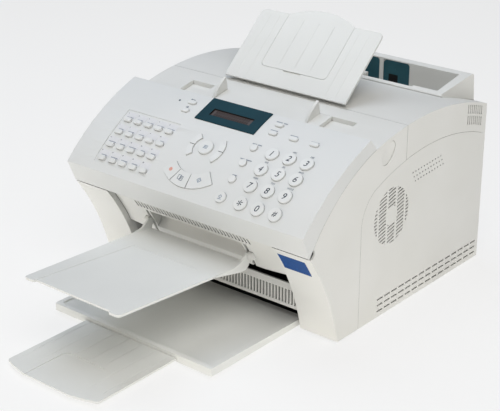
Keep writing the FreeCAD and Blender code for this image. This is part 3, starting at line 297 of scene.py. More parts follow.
# Thin shapes for print, film and labels, all in mm
def wordMesh(text, size, shear=0.0, weight=0.0):  # centred lettering as a flat mesh
    curve = bpy.data.curves.new("word", "FONT")
    curve.body = text
    curve.size = size * mm
    curve.shear = shear
    curve.offset = weight * mm
    curve.extrude = 0.03 * mm
    holder = bpy.data.objects.new("word", curve)
    scene.collection.objects.link(holder)
    bpy.context.view_layer.update()
    mesh = bpy.data.meshes.new_from_object(holder.evaluated_get(bpy.context.evaluated_depsgraph_get()))
    bpy.data.objects.remove(holder)
    low = [min(v.co[i] for v in mesh.vertices) for i in (0, 1)]
    high = [max(v.co[i] for v in mesh.vertices) for i in (0, 1)]
    mesh.transform(Matrix.Translation((-(low[0] + high[0]) / 2, -(low[1] + high[1]) / 2, 0)))
    return mesh


def thicken(work, thick, along=(0, 0, 1)):  # turns faces into a closed sheet and hands over its mesh
    raised = bmesh.ops.extrude_face_region(work, geom=work.faces[:])
    top = [part for part in raised["geom"] if isinstance(part, bmesh.types.BMVert)]
    bmesh.ops.translate(work, vec=Vector(along) * thick * mm, verts=top)
    bmesh.ops.recalc_face_normals(work, faces=work.faces[:])
    mesh = bpy.data.meshes.new("sheet")
    work.to_mesh(mesh)
    work.free()
    return mesh


def plaque(width, height, corner=0.0, stroke=0.0, thick=0.04, upper=False):  # rounded sheet, or its outline only
    work = bmesh.new()
    bmesh.ops.create_grid(work, x_segments=1, y_segments=1, size=0.5)
    bmesh.ops.scale(work, vec=(width * mm, height * mm, 1), verts=work.verts[:])
    if corner:
        corners = [v for v in work.verts if v.co.y > 0 or not upper]
        bmesh.ops.bevel(work, geom=corners, offset=corner * mm, affect="VERTICES", segments=6, profile=0.5, material=-1)
    if stroke:
        middle = work.faces[:]
        bmesh.ops.inset_region(work, faces=middle, thickness=stroke * mm, use_boundary=True)
        bmesh.ops.delete(work, geom=middle, context="FACES")
    return thicken(work, thick)


def disc(across, stroke=0.0, thick=0.04):  # round spot, or a ring
    work = bmesh.new()
    bmesh.ops.create_circle(work, cap_ends=True, segments=32, radius=across / 2 * mm)
    if stroke:
        middle = work.faces[:]
        bmesh.ops.inset_region(work, faces=middle, thickness=stroke * mm, use_boundary=True)
        bmesh.ops.delete(work, geom=middle, context="FACES")
    return thicken(work, thick)


def shifted(x, y, turn=0.0):
    return Matrix.Translation((x * mm, y * mm, 0)) @ Matrix.Rotation(math.radians(turn), 4, "Z")


def printed(name, parts, body, ink):  # placed thin shapes joined as one piece
    work = bmesh.new()
    for mesh, place in parts:
        mesh.transform(place)
        work.from_mesh(mesh)
        bpy.data.meshes.remove(mesh)
    mesh = bpy.data.meshes.new(name)
    work.to_mesh(mesh)
    work.free()
    return addPiece(name, mesh, body, inks[ink])


# Solid forms by outline, in mm: x across, y back from the foot of the columns, z up from the covers' lower edge
machine = Matrix.Translation((0, -18.5 * mm, 3.0 * mm))
acrossView = Matrix(((0, 0, 1, 0), (1, 0, 0, 0), (0, 1, 0, 0), (0, 0, 0, 1)))


def rounded(corners, steps=6):  # outline through corners given as two places and a radius
    points = []
    for i, (u, v, radius) in enumerate(corners):
        here = Vector((u, v))
        before = (Vector(corners[i - 1][:2]) - here).normalized()
        after = (Vector(corners[(i + 1) % len(corners)][:2]) - here).normalized()
        half = before.angle(after) / 2
        centre = here + (before + after).normalized() * radius / math.sin(half)
        start = here + before * radius / math.tan(half) - centre
        end = here + after * radius / math.tan(half) - centre
        for n in range(steps + 1 if radius else 1):
            points.append(centre + start.lerp(end, n / steps).normalized() * radius)
    return points


def bowed(u0, u1, v, rise, steps=24):  # points of an arc from u0 to u1 that rises over v
    return [(u0 + (u1 - u0) * n / steps, v + rise * (1 - (2 * n / steps - 1) ** 2)) for n in range(steps + 1)]


def slab(points, low, high):  # plan outline between two heights
    work = bmesh.new()
    work.faces.new([work.verts.new((u * mm, v * mm, low * mm)) for u, v in points])
    return thicken(work, high - low)


def block(x0, x1, y0, y1, z0, z1):
    return slab(((x0, y0), (x1, y0), (x1, y1), (x0, y1)), z0, z1)


def prism(section, left, right):  # side-view outline drawn across
    mesh = slab(section, left, right)
    mesh.transform(acrossView)
    return mesh


def rod(y, z, radius, left, right):
    turns = [math.tau * n / 24 for n in range(24)]
    return prism([(y + radius * math.cos(t), z + radius * math.sin(t)) for t in turns], left, right)


def mirrored(mesh):
    twin = mesh.copy()
    twin.transform(Matrix.Scale(-1, 4, (1, 0, 0)))
    twin.flip_normals()
    return twin


def together(meshes):
    work = bmesh.new()
    for mesh in meshes:
        work.from_mesh(mesh)
        bpy.data.meshes.remove(mesh)
    mesh = bpy.data.meshes.new("parts")
    work.to_mesh(mesh)
    work.free()
    return mesh


def shaped(base, steps):  # a closed mesh after cuts and unions
    holder = bpy.data.objects.new("base", base)
    things = [holder]
    for operation, mesh in steps:
        things.append(bpy.data.objects.new("tool", mesh))
        change = holder.modifiers.new("change", "BOOLEAN")
        change.operation = operation
        change.object = things[-1]
    for thing in things:
        scene.collection.objects.link(thing)
    bpy.context.view_layer.update()
    mesh = bpy.data.meshes.new_from_object(holder.evaluated_get(bpy.context.evaluated_depsgraph_get()))
    for thing in things:
        bpy.data.objects.remove(thing)
    return mesh


def lines(places, start, end, width=0.9, depth=0.3, top=0.0):  # shallow grooves along y
    return together([block(x - width / 2, x + width / 2, start, end, top - depth, top + 1) for x in places])


# Document exit tray: a sloping leaf with two tips, a sunk middle, and side arms on pins
exitSet = {"rear": -39.0, "rearTop": 91.0, "front": -259.0, "rise": 12.3, "half": 86.5, "frontHalf": 80.5, "wall": 3.1,
           "tip": 263.5, "inner": 63.5, "tipRound": 5.0, "middleHalf": 56.0, "middleRear": -99.0, "middleDepth": 0.5,
           "armInner": 83.5, "heel": 82.1, "pin": (-36.0, 100.0, 2.5), "pinEnd": 92.5}
slope = exitSet["rise"] / (exitSet["rear"] - exitSet["front"])
tilt = Matrix(((1, 0, 0, 0), (0, 1, 0, 0),
               (0, -slope, 1, (exitSet["rearTop"] + slope * exitSet["rear"]) * mm), (0, 0, 0, 1)))
rear, tip, inner = exitSet["rear"], -exitSet["tip"], exitSet["inner"]
leaf = slab(rounded(((-exitSet["half"], rear, 0), (exitSet["half"], rear, 0),
                     (exitSet["frontHalf"], tip, exitSet["tipRound"]), (inner, tip, exitSet["tipRound"] / 2),
                     (inner, exitSet["front"], 0), (-inner, exitSet["front"], 0),
                     (-inner, tip, exitSet["tipRound"] / 2), (-exitSet["frontHalf"], tip, exitSet["tipRound"]))),
            -exitSet["wall"], 0)
middle = slab(((-inner, tip), (inner, tip), (exitSet["middleHalf"], exitSet["middleRear"]),
               (-exitSet["middleHalf"], exitSet["middleRear"])), -exitSet["middleDepth"], 1)
for mesh in (leaf, middle):
    mesh.transform(tilt)
pinY, pinZ, pinRadius = exitSet["pin"]
arm = prism(((-104.0, 93.2), (-53.0, exitSet["heel"]), (-43.7, exitSet["heel"]), (-38.0, 86.1), (-31.5, 98.0),
             (-34.0, 104.5), (-40.5, 104.5), (-53.0, 94.9), (-67.0, 92.56)), exitSet["armInner"], exitSet["half"])
pin = rod(pinY, pinZ, pinRadius, exitSet["armInner"], exitSet["pinEnd"])
mesh = shaped(leaf, [("DIFFERENCE", middle), ("UNION", arm), ("UNION", mirrored(arm)), ("UNION", pin),
                     ("UNION", mirrored(pin))])
mesh.transform(machine)
eased("document_exit_tray", mesh, 0.4)

# Pull-out leaf of the output tray: bowed front, sunk pull, fine grooves
leafSet = {"half": 78.5, "side": -299.6, "bow": -13.9, "tail": -107.0, "top": 5.6, "wall": 3.0, "pullHalf": 36.5,
           "pullFront": -314.0, "pullRear": -240.5, "pullRound": 9.0, "pullDepth": 0.9, "notch": -309.3,
           "inLines": (-23.3, 0.0, 23.3), "outLines": (-69.9, -46.6, 46.6, 69.9)}
half = leafSet["half"]
front = bowed(-half, half, leafSet["side"], leafSet["bow"])[1:-1]
leaf = slab(rounded(((half, leafSet["tail"], 0), (-half, leafSet["tail"], 0), (-half, leafSet["side"], 5.0),
                     *[(u, v, 0) for u, v in front], (half, leafSet["side"], 5.0))),
            leafSet["top"] - leafSet["wall"], leafSet["top"])
pull = slab(rounded(((-leafSet["pullHalf"], leafSet["pullFront"], 0), (leafSet["pullHalf"], leafSet["pullFront"], 0),
                     (leafSet["pullHalf"], leafSet["pullRear"], leafSet["pullRound"]),
                     (-leafSet["pullHalf"], leafSet["pullRear"], leafSet["pullRound"]))),
            leafSet["top"] - leafSet["pullDepth"], leafSet["top"] + 1)
notch = block(-leafSet["pullHalf"], leafSet["pullHalf"], leafSet["pullFront"] - 2, leafSet["notch"], 0, 10)
mesh = shaped(leaf, [("DIFFERENCE", pull), ("DIFFERENCE", notch),
                     ("DIFFERENCE", lines(leafSet["inLines"], -239.0, -112.0, top=leafSet["top"])),
                     ("DIFFERENCE", lines(leafSet["outLines"], -282.0, -112.0, top=leafSet["top"]))])
mesh.transform(machine)
eased("output_tray_extension", mesh, 0.4)

# Output tray: its bed runs on under the grille, whose lip hides the inner shelf
trayLow, trayHigh = (machine.inverted() @ Vector(corner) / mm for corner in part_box("output_tray"))
bedTop = (machine.inverted() @ touched("output_tray", machine @ Vector((0, trayHigh.y * mm - 0.003, 0.06)),
                                       Vector((0, 0, -1)))[0]).z / mm
heel = block(trayLow.x + 1, trayHigh.x - 1, trayHigh.y - 4, 18.0, bedTop - 2.5, bedTop - 0.05)
heel.transform(machine)
eased("output_tray", shaped(cleaned("output_tray"), [("UNION", heel)]), 0.4)
shelf = block(-150, 150, -1.4, 60, 57.0, 62.0)
shelf.transform(machine)
eased("front_grille", shaped(cleaned("front_grille"), [("DIFFERENCE", shelf)]), 0.3)

# Document tray and its flap, drawn flat and leaned back
traySet = {"half": 102.7, "length": 113.4, "wall": 3.0, "foot": (138.1, 258.3), "lean": 42.2, "footRound": 2.0,
           "topRound": 8.0, "flapHalf": 55.5, "flapFoot": 26.8, "flapRound": 7.0, "flapBulge": 14.0, "flapWall": 2.0,
           "gap": 0.45, "swing": 33.5, "thumb": (15.0, 5.0)}
lean = (machine @ Matrix.Translation((0, traySet["foot"][0] * mm, traySet["foot"][1] * mm))
        @ Matrix.Rotation(math.radians(traySet["lean"]), 4, "X"))


def flapShape(grow, low, high):
    half, foot, top = traySet["flapHalf"] + grow, traySet["flapFoot"] - grow, traySet["length"]
    return slab(rounded(((-half, foot, traySet["flapRound"]), (half, foot, traySet["flapRound"]),
                         *[(u, v, 0) for u, v in bowed(half, -half, top, traySet["flapBulge"])])), low, high)


half, length = traySet["half"], traySet["length"]
plate = slab(rounded(((-half, 0, traySet["footRound"]), (half, 0, traySet["footRound"]), (half, length, traySet["topRound"]),
                      (-half, length, traySet["topRound"]))), -traySet["wall"], 0)
thumb = slab([(traySet["thumb"][0] * math.cos(math.tau * n / 32), traySet["flapFoot"] + traySet["thumb"][1]
               * math.sin(math.tau * n / 32)) for n in range(32)], -traySet["flapWall"], 1)
heel = block(-half + 2, half - 2, 1.2, 12.0, -traySet["wall"] - 2.6, -1)
swing = block(-traySet["flapHalf"], traySet["flapHalf"], length - traySet["swing"], length + 1, -traySet["wall"] - 1, 1)
mesh = shaped(plate, [("UNION", heel), ("DIFFERENCE", flapShape(traySet["gap"], -traySet["flapWall"] - 0.3, 1)), ("DIFFERENCE", thumb),
                      ("DIFFERENCE", swing), ("DIFFERENCE", lines((-84.0, -68.0, 68.0, 84.0), 6.0, 106.0))])
mesh.transform(lean)
eased("document_tray", mesh, 0.3)
mesh = shaped(flapShape(0, -traySet["flapWall"], 0), [("DIFFERENCE", lines((-26.0, 0.0, 26.0), 34.0, 108.0))])
mesh.transform(lean)
eased("document_tray_flap", mesh, 0.3)
print("trays shaped")

# Sheet feeder: a tapered box with a deep hopper and swept shoulders, let into the arch
feederSet = {"front": 273.0, "rear": 335.6, "frontHalf": 166.0, "rearHalf": 179.0, "floor": 196.0, "frontTop": 250.0,
             "rearTop": 267.0, "hopper": (280.0, 325.0, 154.0, 160.0), "bed": 199.0, "runs": (2.0, 2.0),
             "padEdges": ((-79.0, -35.0), (-28.0, 28.0), (35.0, 79.0)), "padFoot": 214.0, "padTop": 263.0,
             "padBack": 326.2, "guideX": 31.0, "guideWall": 3.0}


def archTop(y):  # height of the arch beside the feeder
    spot, normal = touched("top_cover", machine @ Vector((0.19, y * mm, 0.4)), Vector((0, 0, -1)))
    return spot.z / mm - 3.0


front, rear = feederSet["front"], feederSet["rear"]
box = slab(((-feederSet["frontHalf"], front), (feederSet["frontHalf"], front), (feederSet["rearHalf"], rear),
            (-feederSet["rearHalf"], rear)), feederSet["floor"], 300)
above = prism(((front - 1, feederSet["frontTop"] - 3), (front + 2.5, feederSet["frontTop"]),
               (rear - 2.5, feederSet["rearTop"]), (rear + 1, feederSet["rearTop"] - 3), (rear + 1, 310), (front - 1, 310)),
              -200, 200)
hopperFront, hopperRear, hopperHalf, hopperWide = feederSet["hopper"]
hopper = slab(((-hopperHalf, hopperFront), (hopperHalf, hopperFront), (hopperWide, hopperRear), (-hopperWide, hopperRear)),
              feederSet["bed"], 310)
ends = ((front - 0.5, feederSet["frontHalf"], feederSet["runs"][0], feederSet["frontTop"]),
        (rear + 0.5, feederSet["rearHalf"], feederSet["runs"][1], feederSet["rearTop"]))
work = bmesh.new()
rings = []
for y, x, run, top in ends:
    foot = archTop(min(y, 330.0))
    high = foot + 1.2 * (top - foot)
    rings.append([work.verts.new((u * mm, y * mm, v * mm))
                  for u, v in ((x, foot), (x - 1.2 * run, high), (210.0, high), (210.0, foot))])
work.faces.new(rings[0])
work.faces.new(rings[1])
for n in range(4):
    work.faces.new((rings[0][n - 1], rings[0][n], rings[1][n], rings[1][n - 1]))
bmesh.ops.triangulate(work, faces=work.faces[:])
bmesh.ops.recalc_face_normals(work, faces=work.faces[:])
shoulder = bpy.data.meshes.new("shoulder")
work.to_mesh(shoulder)
work.free()
beds = together([block(x0, x1, hopperRear - 1, feederSet["padBack"], feederSet["padFoot"], feederSet["padTop"])
                 for x0, x1 in feederSet["padEdges"]])
slide = block(feederSet["guideX"] - 0.4, feederSet["guideX"] + 84.4, hopperFront - 3.4, hopperFront + 1, 246.6, 310)
mesh = shaped(box, [("DIFFERENCE", above), ("DIFFERENCE", shoulder), ("DIFFERENCE", mirrored(shoulder)),
                    ("DIFFERENCE", hopper), ("DIFFERENCE", beds), ("DIFFERENCE", slide)])
mesh.transform(machine)
eased("sheet_feeder", mesh, 0.6)
guideX, guideEnd = feederSet["guideX"], feederSet["guideX"] + feederSet["guideWall"]
fin = prism(((hopperFront + 0.3, 222.0), (hopperFront + 0.3, 250.0), (hopperRear - 0.3, 225.0), (hopperRear - 0.3, 222.0)),
            guideX, guideEnd)
hook = block(guideX, guideEnd + 4, hopperFront - 3, hopperFront + 3, 247.0, 254.5)
mesh = shaped(fin, [("UNION", hook)])
mesh.transform(machine)
eased("sheet_guide", mesh, 0.4)

# Arch: its bay drawn in to the feeder
mesh = cleaned("top_cover")
oldFront, oldRear, oldHalf = 255.6, 335.6, 179.4
newFront, newFrontHalf = front - 0.4, feederSet["frontHalf"] + 0.4
heights = {y: archTop(y) for y in (oldFront - 0.5, newFront)}
for v in mesh.vertices:
    x, y = v.co.x / mm, v.co.y / mm + 18.5
    side = abs(abs(x) - oldHalf) < 0.6
    if y > oldFront - 0.6 and (side or (abs(y - oldFront) < 0.6 and abs(x) < oldHalf)):
        part = min(max((y - oldFront) / (oldRear - oldFront), 0), 1)
        newY = newFront + part * (oldRear - newFront)
        v.co.z += (archTop(min(newY, 330.0)) - archTop(min(max(y, oldFront - 0.5), 330.0))) * mm
        v.co.y = (newY - 18.5) * mm
        if side:
            v.co.x = math.copysign(newFrontHalf + part * (oldHalf - newFrontHalf), x) * mm
eased("top_cover", mesh, 0.4)
print("feeder shaped")

# Front cover: proud in the middle, with a comb of slots and a hollow where documents come out
coverSet = {"edges": ((-140.6, 9.0), (-101.0, 4.0), (101.0, 4.0), (140.6, 9.0)), "foot": 80.5, "top": 133.5, "rows": 14,
            "wall": 3.0, "combCount": 35, "combPitch": 5.65, "combSlot": 2.6, "comb": (121.5, 131.5), "exitHalf": 79.0,
            "exit": (90.0, 117.5), "scoop": 17.0, "mouth": (105.5, 111.5), "lugRadius": 5.5, "backing": (0.3, 1.0)}


def columnFront(z):  # depth of the hollow column face at a height
    spot, normal = touched("front_frame", machine @ Vector((0.17, -0.3, z * mm)), Vector((0, 1, 0)))
    return spot.y / mm + 18.5


def hollow(low, high, depth, steps=16):  # side-view curve that sinks behind a line
    away = Vector((high.y - low.y, low.x - high.x)).normalized()
    return [low.lerp(high, n / steps) + away * depth * (1 - (2 * n / steps - 1) ** 2) for n in range(steps + 1)]


work = bmesh.new()
grid = []
for n in range(coverSet["rows"] + 1):
    z = coverSet["foot"] + (coverSet["top"] - coverSet["foot"]) * n / coverSet["rows"]
    y = columnFront(z)
    grid.append([work.verts.new(Vector((x, y + sunk, z)) * mm) for x, sunk in coverSet["edges"]])
for lower, upper in zip(grid, grid[1:]):
    for n in range(3):
        work.faces.new((lower[n], lower[n + 1], upper[n + 1], upper[n]))
plate = thicken(work, coverSet["wall"], (0, 1, 0))
sunk, wall, exitHalf = coverSet["edges"][1][1], coverSet["wall"], coverSet["exitHalf"]
low, high = (Vector((columnFront(z) + sunk, z)) for z in coverSet["exit"])
shellLow, shellHigh = low + Vector((wall / 2, -wall)), high + Vector((wall / 2, wall))
shell = prism(hollow(shellLow, shellHigh, coverSet["scoop"] + wall), -exitHalf - wall, exitHalf + wall)
room = prism([Vector((-120, high.y)), *reversed(hollow(low, high, coverSet["scoop"])), Vector((-120, low.y))],
             -exitHalf, exitHalf)
mouth = block(-exitHalf + wall, exitHalf - wall, high.x + wall, high.x + 60, *coverSet["mouth"])
slit = block(exitHalf + wall, exitSet["half"] + 0.3, -70, 20, coverSet["foot"] - 1, high.y)
comb = together([block(x - coverSet["combSlot"] / 2, x + coverSet["combSlot"] / 2, -75, -38, *coverSet["comb"])
                 for x in [(n - (coverSet["combCount"] - 1) / 2) * coverSet["combPitch"] for n in range(coverSet["combCount"])]])
lug = rod(pinY, pinZ, coverSet["lugRadius"], exitSet["half"] + 0.3, exitSet["pinEnd"] + 0.3)
mesh = shaped(plate, [("UNION", shell), ("DIFFERENCE", room), ("DIFFERENCE", mouth), ("DIFFERENCE", slit),
                      ("DIFFERENCE", mirrored(slit)), ("DIFFERENCE", comb), ("UNION", lug), ("UNION", mirrored(lug))])
mesh.transform(machine)
eased("front_cover", mesh, 0.3)
gap, thick = coverSet["backing"]
edges = [(columnFront(z) + sunk + wall, z) for z in coverSet["comb"]]
mesh = prism([(y + gap, z) for y, z in edges] + [(y + gap + thick, z) for y, z in reversed(edges)], -101.0, 101.0)
mesh.transform(machine)
addPiece("combBacking", mesh, bodyOf["front_cover"], finishes["dark_plastic"])  # painted shade: a dark sheet behind the comb stands in for the shade inside the slots

# Control panel: the bed of the one-touch labels sunk into its face
bedSet = {"x": (-157.5, -63.5), "s": (12.9, 100.5), "depth": 1.0, "steps": 18}
work = bmesh.new()
strips = []
for n in range(bedSet["steps"] + 1):
    s = bedSet["s"][0] + (bedSet["s"][1] - bedSet["s"][0]) * n / bedSet["steps"]
    strips.append([work.verts.new(panelSpot(x, s, lift).translation)
                   for x, lift in ((bedSet["x"][0], -bedSet["depth"]), (bedSet["x"][1], -bedSet["depth"]),
                                   (bedSet["x"][1], 4), (bedSet["x"][0], 4))])
work.faces.new(strips[0])
work.faces.new(strips[-1])
for lower, upper in zip(strips, strips[1:]):
    for n in range(4):
        work.faces.new((lower[n - 1], lower[n], upper[n], upper[n - 1]))
bmesh.ops.recalc_face_normals(work, faces=work.faces[:])
bed = bpy.data.meshes.new("bed")
work.to_mesh(bed)
work.free()
eased("control_panel", shaped(cleaned("control_panel"), [("DIFFERENCE", bed)]), 0.35)
print("cover and panel shaped")


# Number keys
digitMarks = {"size": 12.0, "shear": 0.18, "weight": 0.05,
              "text": {"key_star": "*", "key_hash": "#", **{"key_%d" % n: str(n) for n in range(10)}}}
for name, text in digitMarks["text"].items():
    size = digitMarks["size"] * (1.5 if text == "*" else 0.85 if text == "#" else 1.0)
    weight = 0.0 if text == "4" else digitMarks["weight"]  # its small counter would close
    printed(camel(name) + "Digit", [(wordMesh(text, size, digitMarks["shear"], weight), keySpot(name))],
            bodyOf[name], "digit")

keyLetters = {"size": 3.2, "above": 12.5, "firstX": 94.0, "pitchX": 27.1, "firstS": 18.0, "pitchS": 25.65,
              "rows": (("", "", ""), ("PQRS", "TUV", "WXYZ"), ("GHI", "JKL", "MNO"), ("", "ABC", "DEF"))}
letters = []
for row, words in enumerate(keyLetters["rows"]):  # the standard letters of a telephone keypad
    for column, text in enumerate(words):
        if text:
            spot = panelSpot(keyLetters["firstX"] + column * keyLetters["pitchX"],
                             keyLetters["firstS"] + row * keyLetters["pitchS"] + keyLetters["above"])
            letters.append((wordMesh(text, keyLetters["size"], weight=0.05), spot))
printed("keypadLetters", letters, "control_panel", "caption")
print("keypad printed")

# One-touch keys: paper label windows, numbers and write-in bars in the sunk bed
labelBed = {"firstX": -146.7, "pitchX": 18.6, "firstS": 19.6, "pitchS": 21.4, "columns": 5, "rows": 4, "sunk": -0.94,
            "window": (17.2, 9.2), "windowUp": 8.5, "numberLeft": 6.9, "numberUp": 11.3, "numberSize": 2.5,
            "barUp": 5.0, "bars": (12.5, 9.5, 11.5, 13.0, 13.0, 8.5, 11.0, 9.0, 0, 6.5,
                                   12.5, 10.0, 13.0, 7.5, 8.5, 9.5, 12.0, 11.0, 10.0, 0)}
windows = []
numbers = []
bars = []
for index in range(labelBed["columns"] * labelBed["rows"]):
    x = labelBed["firstX"] + index % labelBed["columns"] * labelBed["pitchX"]
    s = labelBed["firstS"] + (labelBed["rows"] - 1 - index // labelBed["columns"]) * labelBed["pitchS"]
    windows.append((plaque(*labelBed["window"], corner=0.8), panelSpot(x, s + labelBed["windowUp"], labelBed["sunk"])))
    numbers.append((wordMesh(str(index + 1), labelBed["numberSize"], weight=0.06),
                    panelSpot(x - labelBed["numberLeft"], s + labelBed["numberUp"], labelBed["sunk"] + 0.06)))
    if labelBed["bars"][index]:
        bars.append((plaque(labelBed["bars"][index], 1.2, corner=0.4),
                     panelSpot(x, s + labelBed["barUp"], labelBed["sunk"] + 0.06)))
printed("oneTouchWindows", windows, "control_panel", "paper")
printed("oneTouchNumbers", numbers, "control_panel", "digit")
printed("oneTouchBars", bars, "control_panel", "caption")

# Function keys: plain bars stand for the captions
captions = {"height": 1.4, "runs": ((62, 71.5, 148.9), (73.5, 80, 148.9), (64.5, 76, 132.3), (96.5, 108.5, 132.3),
                                    (130, 142, 131.4), (56.5, 63.5, 103.2), (65.5, 71.5, 103.2), (55, 62, 77.0),
                                    (64, 73.5, 77.0), (59.5, 66.5, 51.7))}
runs = [(plaque(x1 - x0, captions["height"], corner=0.5), panelSpot((x0 + x1) / 2, s)) for x0, x1, s in captions["runs"]]
printed("functionCaptions", runs, "control_panel", "caption")

# Pictograms on the command keys and by the display
stopSpot = capSpot("stop_key", -31.3, 33.4)
printed("stopSpot", [(disc(5.4), stopSpot)], "stop_key", "stop")
copySpot = capSpot("copy_key", -10.2, 26.1)
printed("copySheets", [(plaque(5.2, 6.6, corner=0.5, stroke=0.7), copySpot @ shifted(-1.8, 0.6)),
                       (plaque(5.2, 6.6, corner=0.5, stroke=0.7), copySpot @ shifted(1.8, -0.6)),
                       (plaque(2.4, 0.7), copySpot @ shifted(2.1, 0.6)),
                       (plaque(2.4, 0.7), copySpot @ shifted(2.1, -1.2))], "copy_key", "copy")
startSpot = capSpot("start_key", 18.7, 30.4)
printed("startDiamond", [(plaque(5.4, 5.4, corner=0.4, stroke=0.8), startSpot @ shifted(0, 0, 45)),
                         (plaque(0.8, 3.0), startSpot)], "start_key", "icon")
menuSpot = keySpot("menu_key")
printed("menuLines", [(plaque(6.4, 0.9, corner=0.3), menuSpot @ shifted(0, 1.9 * n)) for n in (-1, 0, 1)],
        "menu_key", "icon")
lineSpot = keySpot("line_key")
printed("lineMark", [(plaque(3.8, 3.8, corner=0.4, stroke=0.7), lineSpot @ shifted(0, 0.4, 45)),
                     (plaque(5.6, 0.7), lineSpot @ shifted(0, -3.0))], "line_key", "icon")
finenessSpot = panelSpot(-79.0, 146.7)
printed("finenessMark", [(plaque(3.0, 2.4, corner=0.4), finenessSpot @ shifted(-1.5, 0)),
                         (plaque(3.4, 0.9), finenessSpot @ shifted(2.6, 0.2))], "control_panel", "copy")
contrastSpot = panelSpot(-76.7, 131.2)
printed("contrastMark", [(disc(3.8, stroke=0.5), contrastSpot), (plaque(1.5, 2.8, corner=0.5), contrastSpot @ shifted(0.9, 0))],
        "control_panel", "copy")

# Status lamp: a small smoked dome let into the panel
lampSet = {"place": (-97.0, 139.5), "across": 3.2, "height": 0.7}
work = bmesh.new()
bmesh.ops.create_uvsphere(work, u_segments=24, v_segments=12, radius=lampSet["across"] / 2 * mm)
bmesh.ops.scale(work, vec=(1, 1, 2 * lampSet["height"] / lampSet["across"]), verts=work.verts[:])
mesh = bpy.data.meshes.new("lamp")
work.to_mesh(mesh)
work.free()
printed("statusLamp", [(mesh, panelSpot(*lampSet["place"], 0))], "control_panel", "lamp")

# Display: a black sleeve lining the well, painted shade where its walls fall in shadow, and rows of unlit character
# cells on the glass
display = {"x": -2.0, "s": 138.0, "windowDown": 3.5, "window": (68.0, 13.0), "columns": 16, "cell": (2.9, 4.4),
           "pitch": (3.6, 5.2)}
bezelSpot = panelSpot(display["x"], display["s"], 0) @ shifted(0, -display["windowDown"])
glassTop = max((bezelSpot.inverted() @ v.co).z for v in nodes["lcd_module"].data.vertices
               if abs((bezelSpot.inverted() @ v.co).y) < 10 * mm)
# painted shade: a thin black sleeve runs from the glass up the well's walls, where the walls fall in shadow
wellShadeTop = 0.75 * mm
mask = plaque(display["window"][0] - 0.1, display["window"][1] - 0.1, corner=0.3, stroke=0.3, thick=(wellShadeTop - glassTop) / mm - 0.05)
printed("displayMask", [(mask, bezelSpot @ Matrix.Translation((0, 0, glassTop + 0.03 * mm)))], "control_panel", "mask")
cells = []
for column in range(display["columns"]):
    for row in (-0.5, 0.5):
        spot = shifted((column - (display["columns"] - 1) / 2) * display["pitch"][0], row * display["pitch"][1])
        cells.append((plaque(*display["cell"], thick=0.03), bezelSpot @ Matrix.Translation((0, 0, glassTop + 0.03 * mm)) @ spot))
printed("displayCells", cells, "control_panel", "cell")
print("panel dressed")

# Feeder pads: rounded at the top corners, the right one creased and with a black tab
padSet = {"gap": 0.4, "corner": 6.0, "tab": (52.2, 235.5, 15.4, 15.0),
          "crease": ((62.5, 258.2, 19.0, 30.2), (55.3, 251.4, 6.2, -72.0))}
standing = Matrix.Rotation(math.radians(90), 4, "X")
padTall = feederSet["padTop"] - feederSet["padFoot"] - 2 * padSet["gap"]
padMiddle = (feederSet["padTop"] + feederSet["padFoot"]) / 2
pads = [(plaque(x1 - x0 - 2 * padSet["gap"], padTall, corner=padSet["corner"], thick=feederSet["padBack"] - hopperRear, upper=True),
         machine @ Matrix.Translation(Vector(((x0 + x1) / 2, feederSet["padBack"], padMiddle)) * mm) @ standing)
        for x0, x1 in feederSet["padEdges"]]
slips = printed("slipPads", pads, bodyOf["feeder_pads"], "mask")
slips.data.materials[0] = finishes["pad_plastic"]
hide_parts("feeder_pads")
x, z, width, height = padSet["tab"]
printed("padTab", [(plaque(width, height, corner=0.6, thick=0.3),
                    machine @ Matrix.Translation(Vector((x, hopperRear, z)) * mm) @ standing)],
        bodyOf["feeder_pads"], "mask")
creases = [(plaque(length, 0.9, corner=0.3, thick=0.35),
            machine @ Matrix.Translation(Vector((x, hopperRear, z)) * mm) @ standing @ shifted(0, 0, turn))
           for x, z, length, turn in padSet["crease"]]
ridge = printed("padCrease", creases, bodyOf["feeder_pads"], "mask")
ridge.data.materials[0] = finishes["pad_plastic"]

# Plain film on the right column
filmSet = {"x": (144.8, 187.2), "z": (104.7, 129.5), "rows": 10, "edge": 1.6}


def columnFilm(name, x0, x1, z0, z1, ink, lift):  # a sheet that follows the hollow front of the column
    work = bmesh.new()
    bmesh.ops.create_grid(work, x_segments=2, y_segments=filmSet["rows"], size=0.5)
    for v in work.verts:
        x = (x0 + x1) / 2 + v.co.x * (x1 - x0)
        z = (z0 + z1) / 2 + v.co.y * (z1 - z0)
        spot, normal = touched("front_frame", Vector((x * mm, -0.4, z * mm)), Vector((0, 1, 0)))
        v.co = spot + normal * lift * mm
    bmesh.ops.recalc_face_normals(work, faces=work.faces[:])
    mesh = bpy.data.meshes.new(name)
    work.to_mesh(mesh)
    work.free()
    piece = addPiece(name, mesh, bodyOf["front_frame"], inks[ink])
    sheet = piece.modifiers.new("sheetThickness", "SOLIDIFY")
    sheet.thickness = 0.04 * mm
    return piece


columnFilm("columnFilm", *filmSet["x"], *filmSet["z"], "film", 0.06)
print("pads and film added")


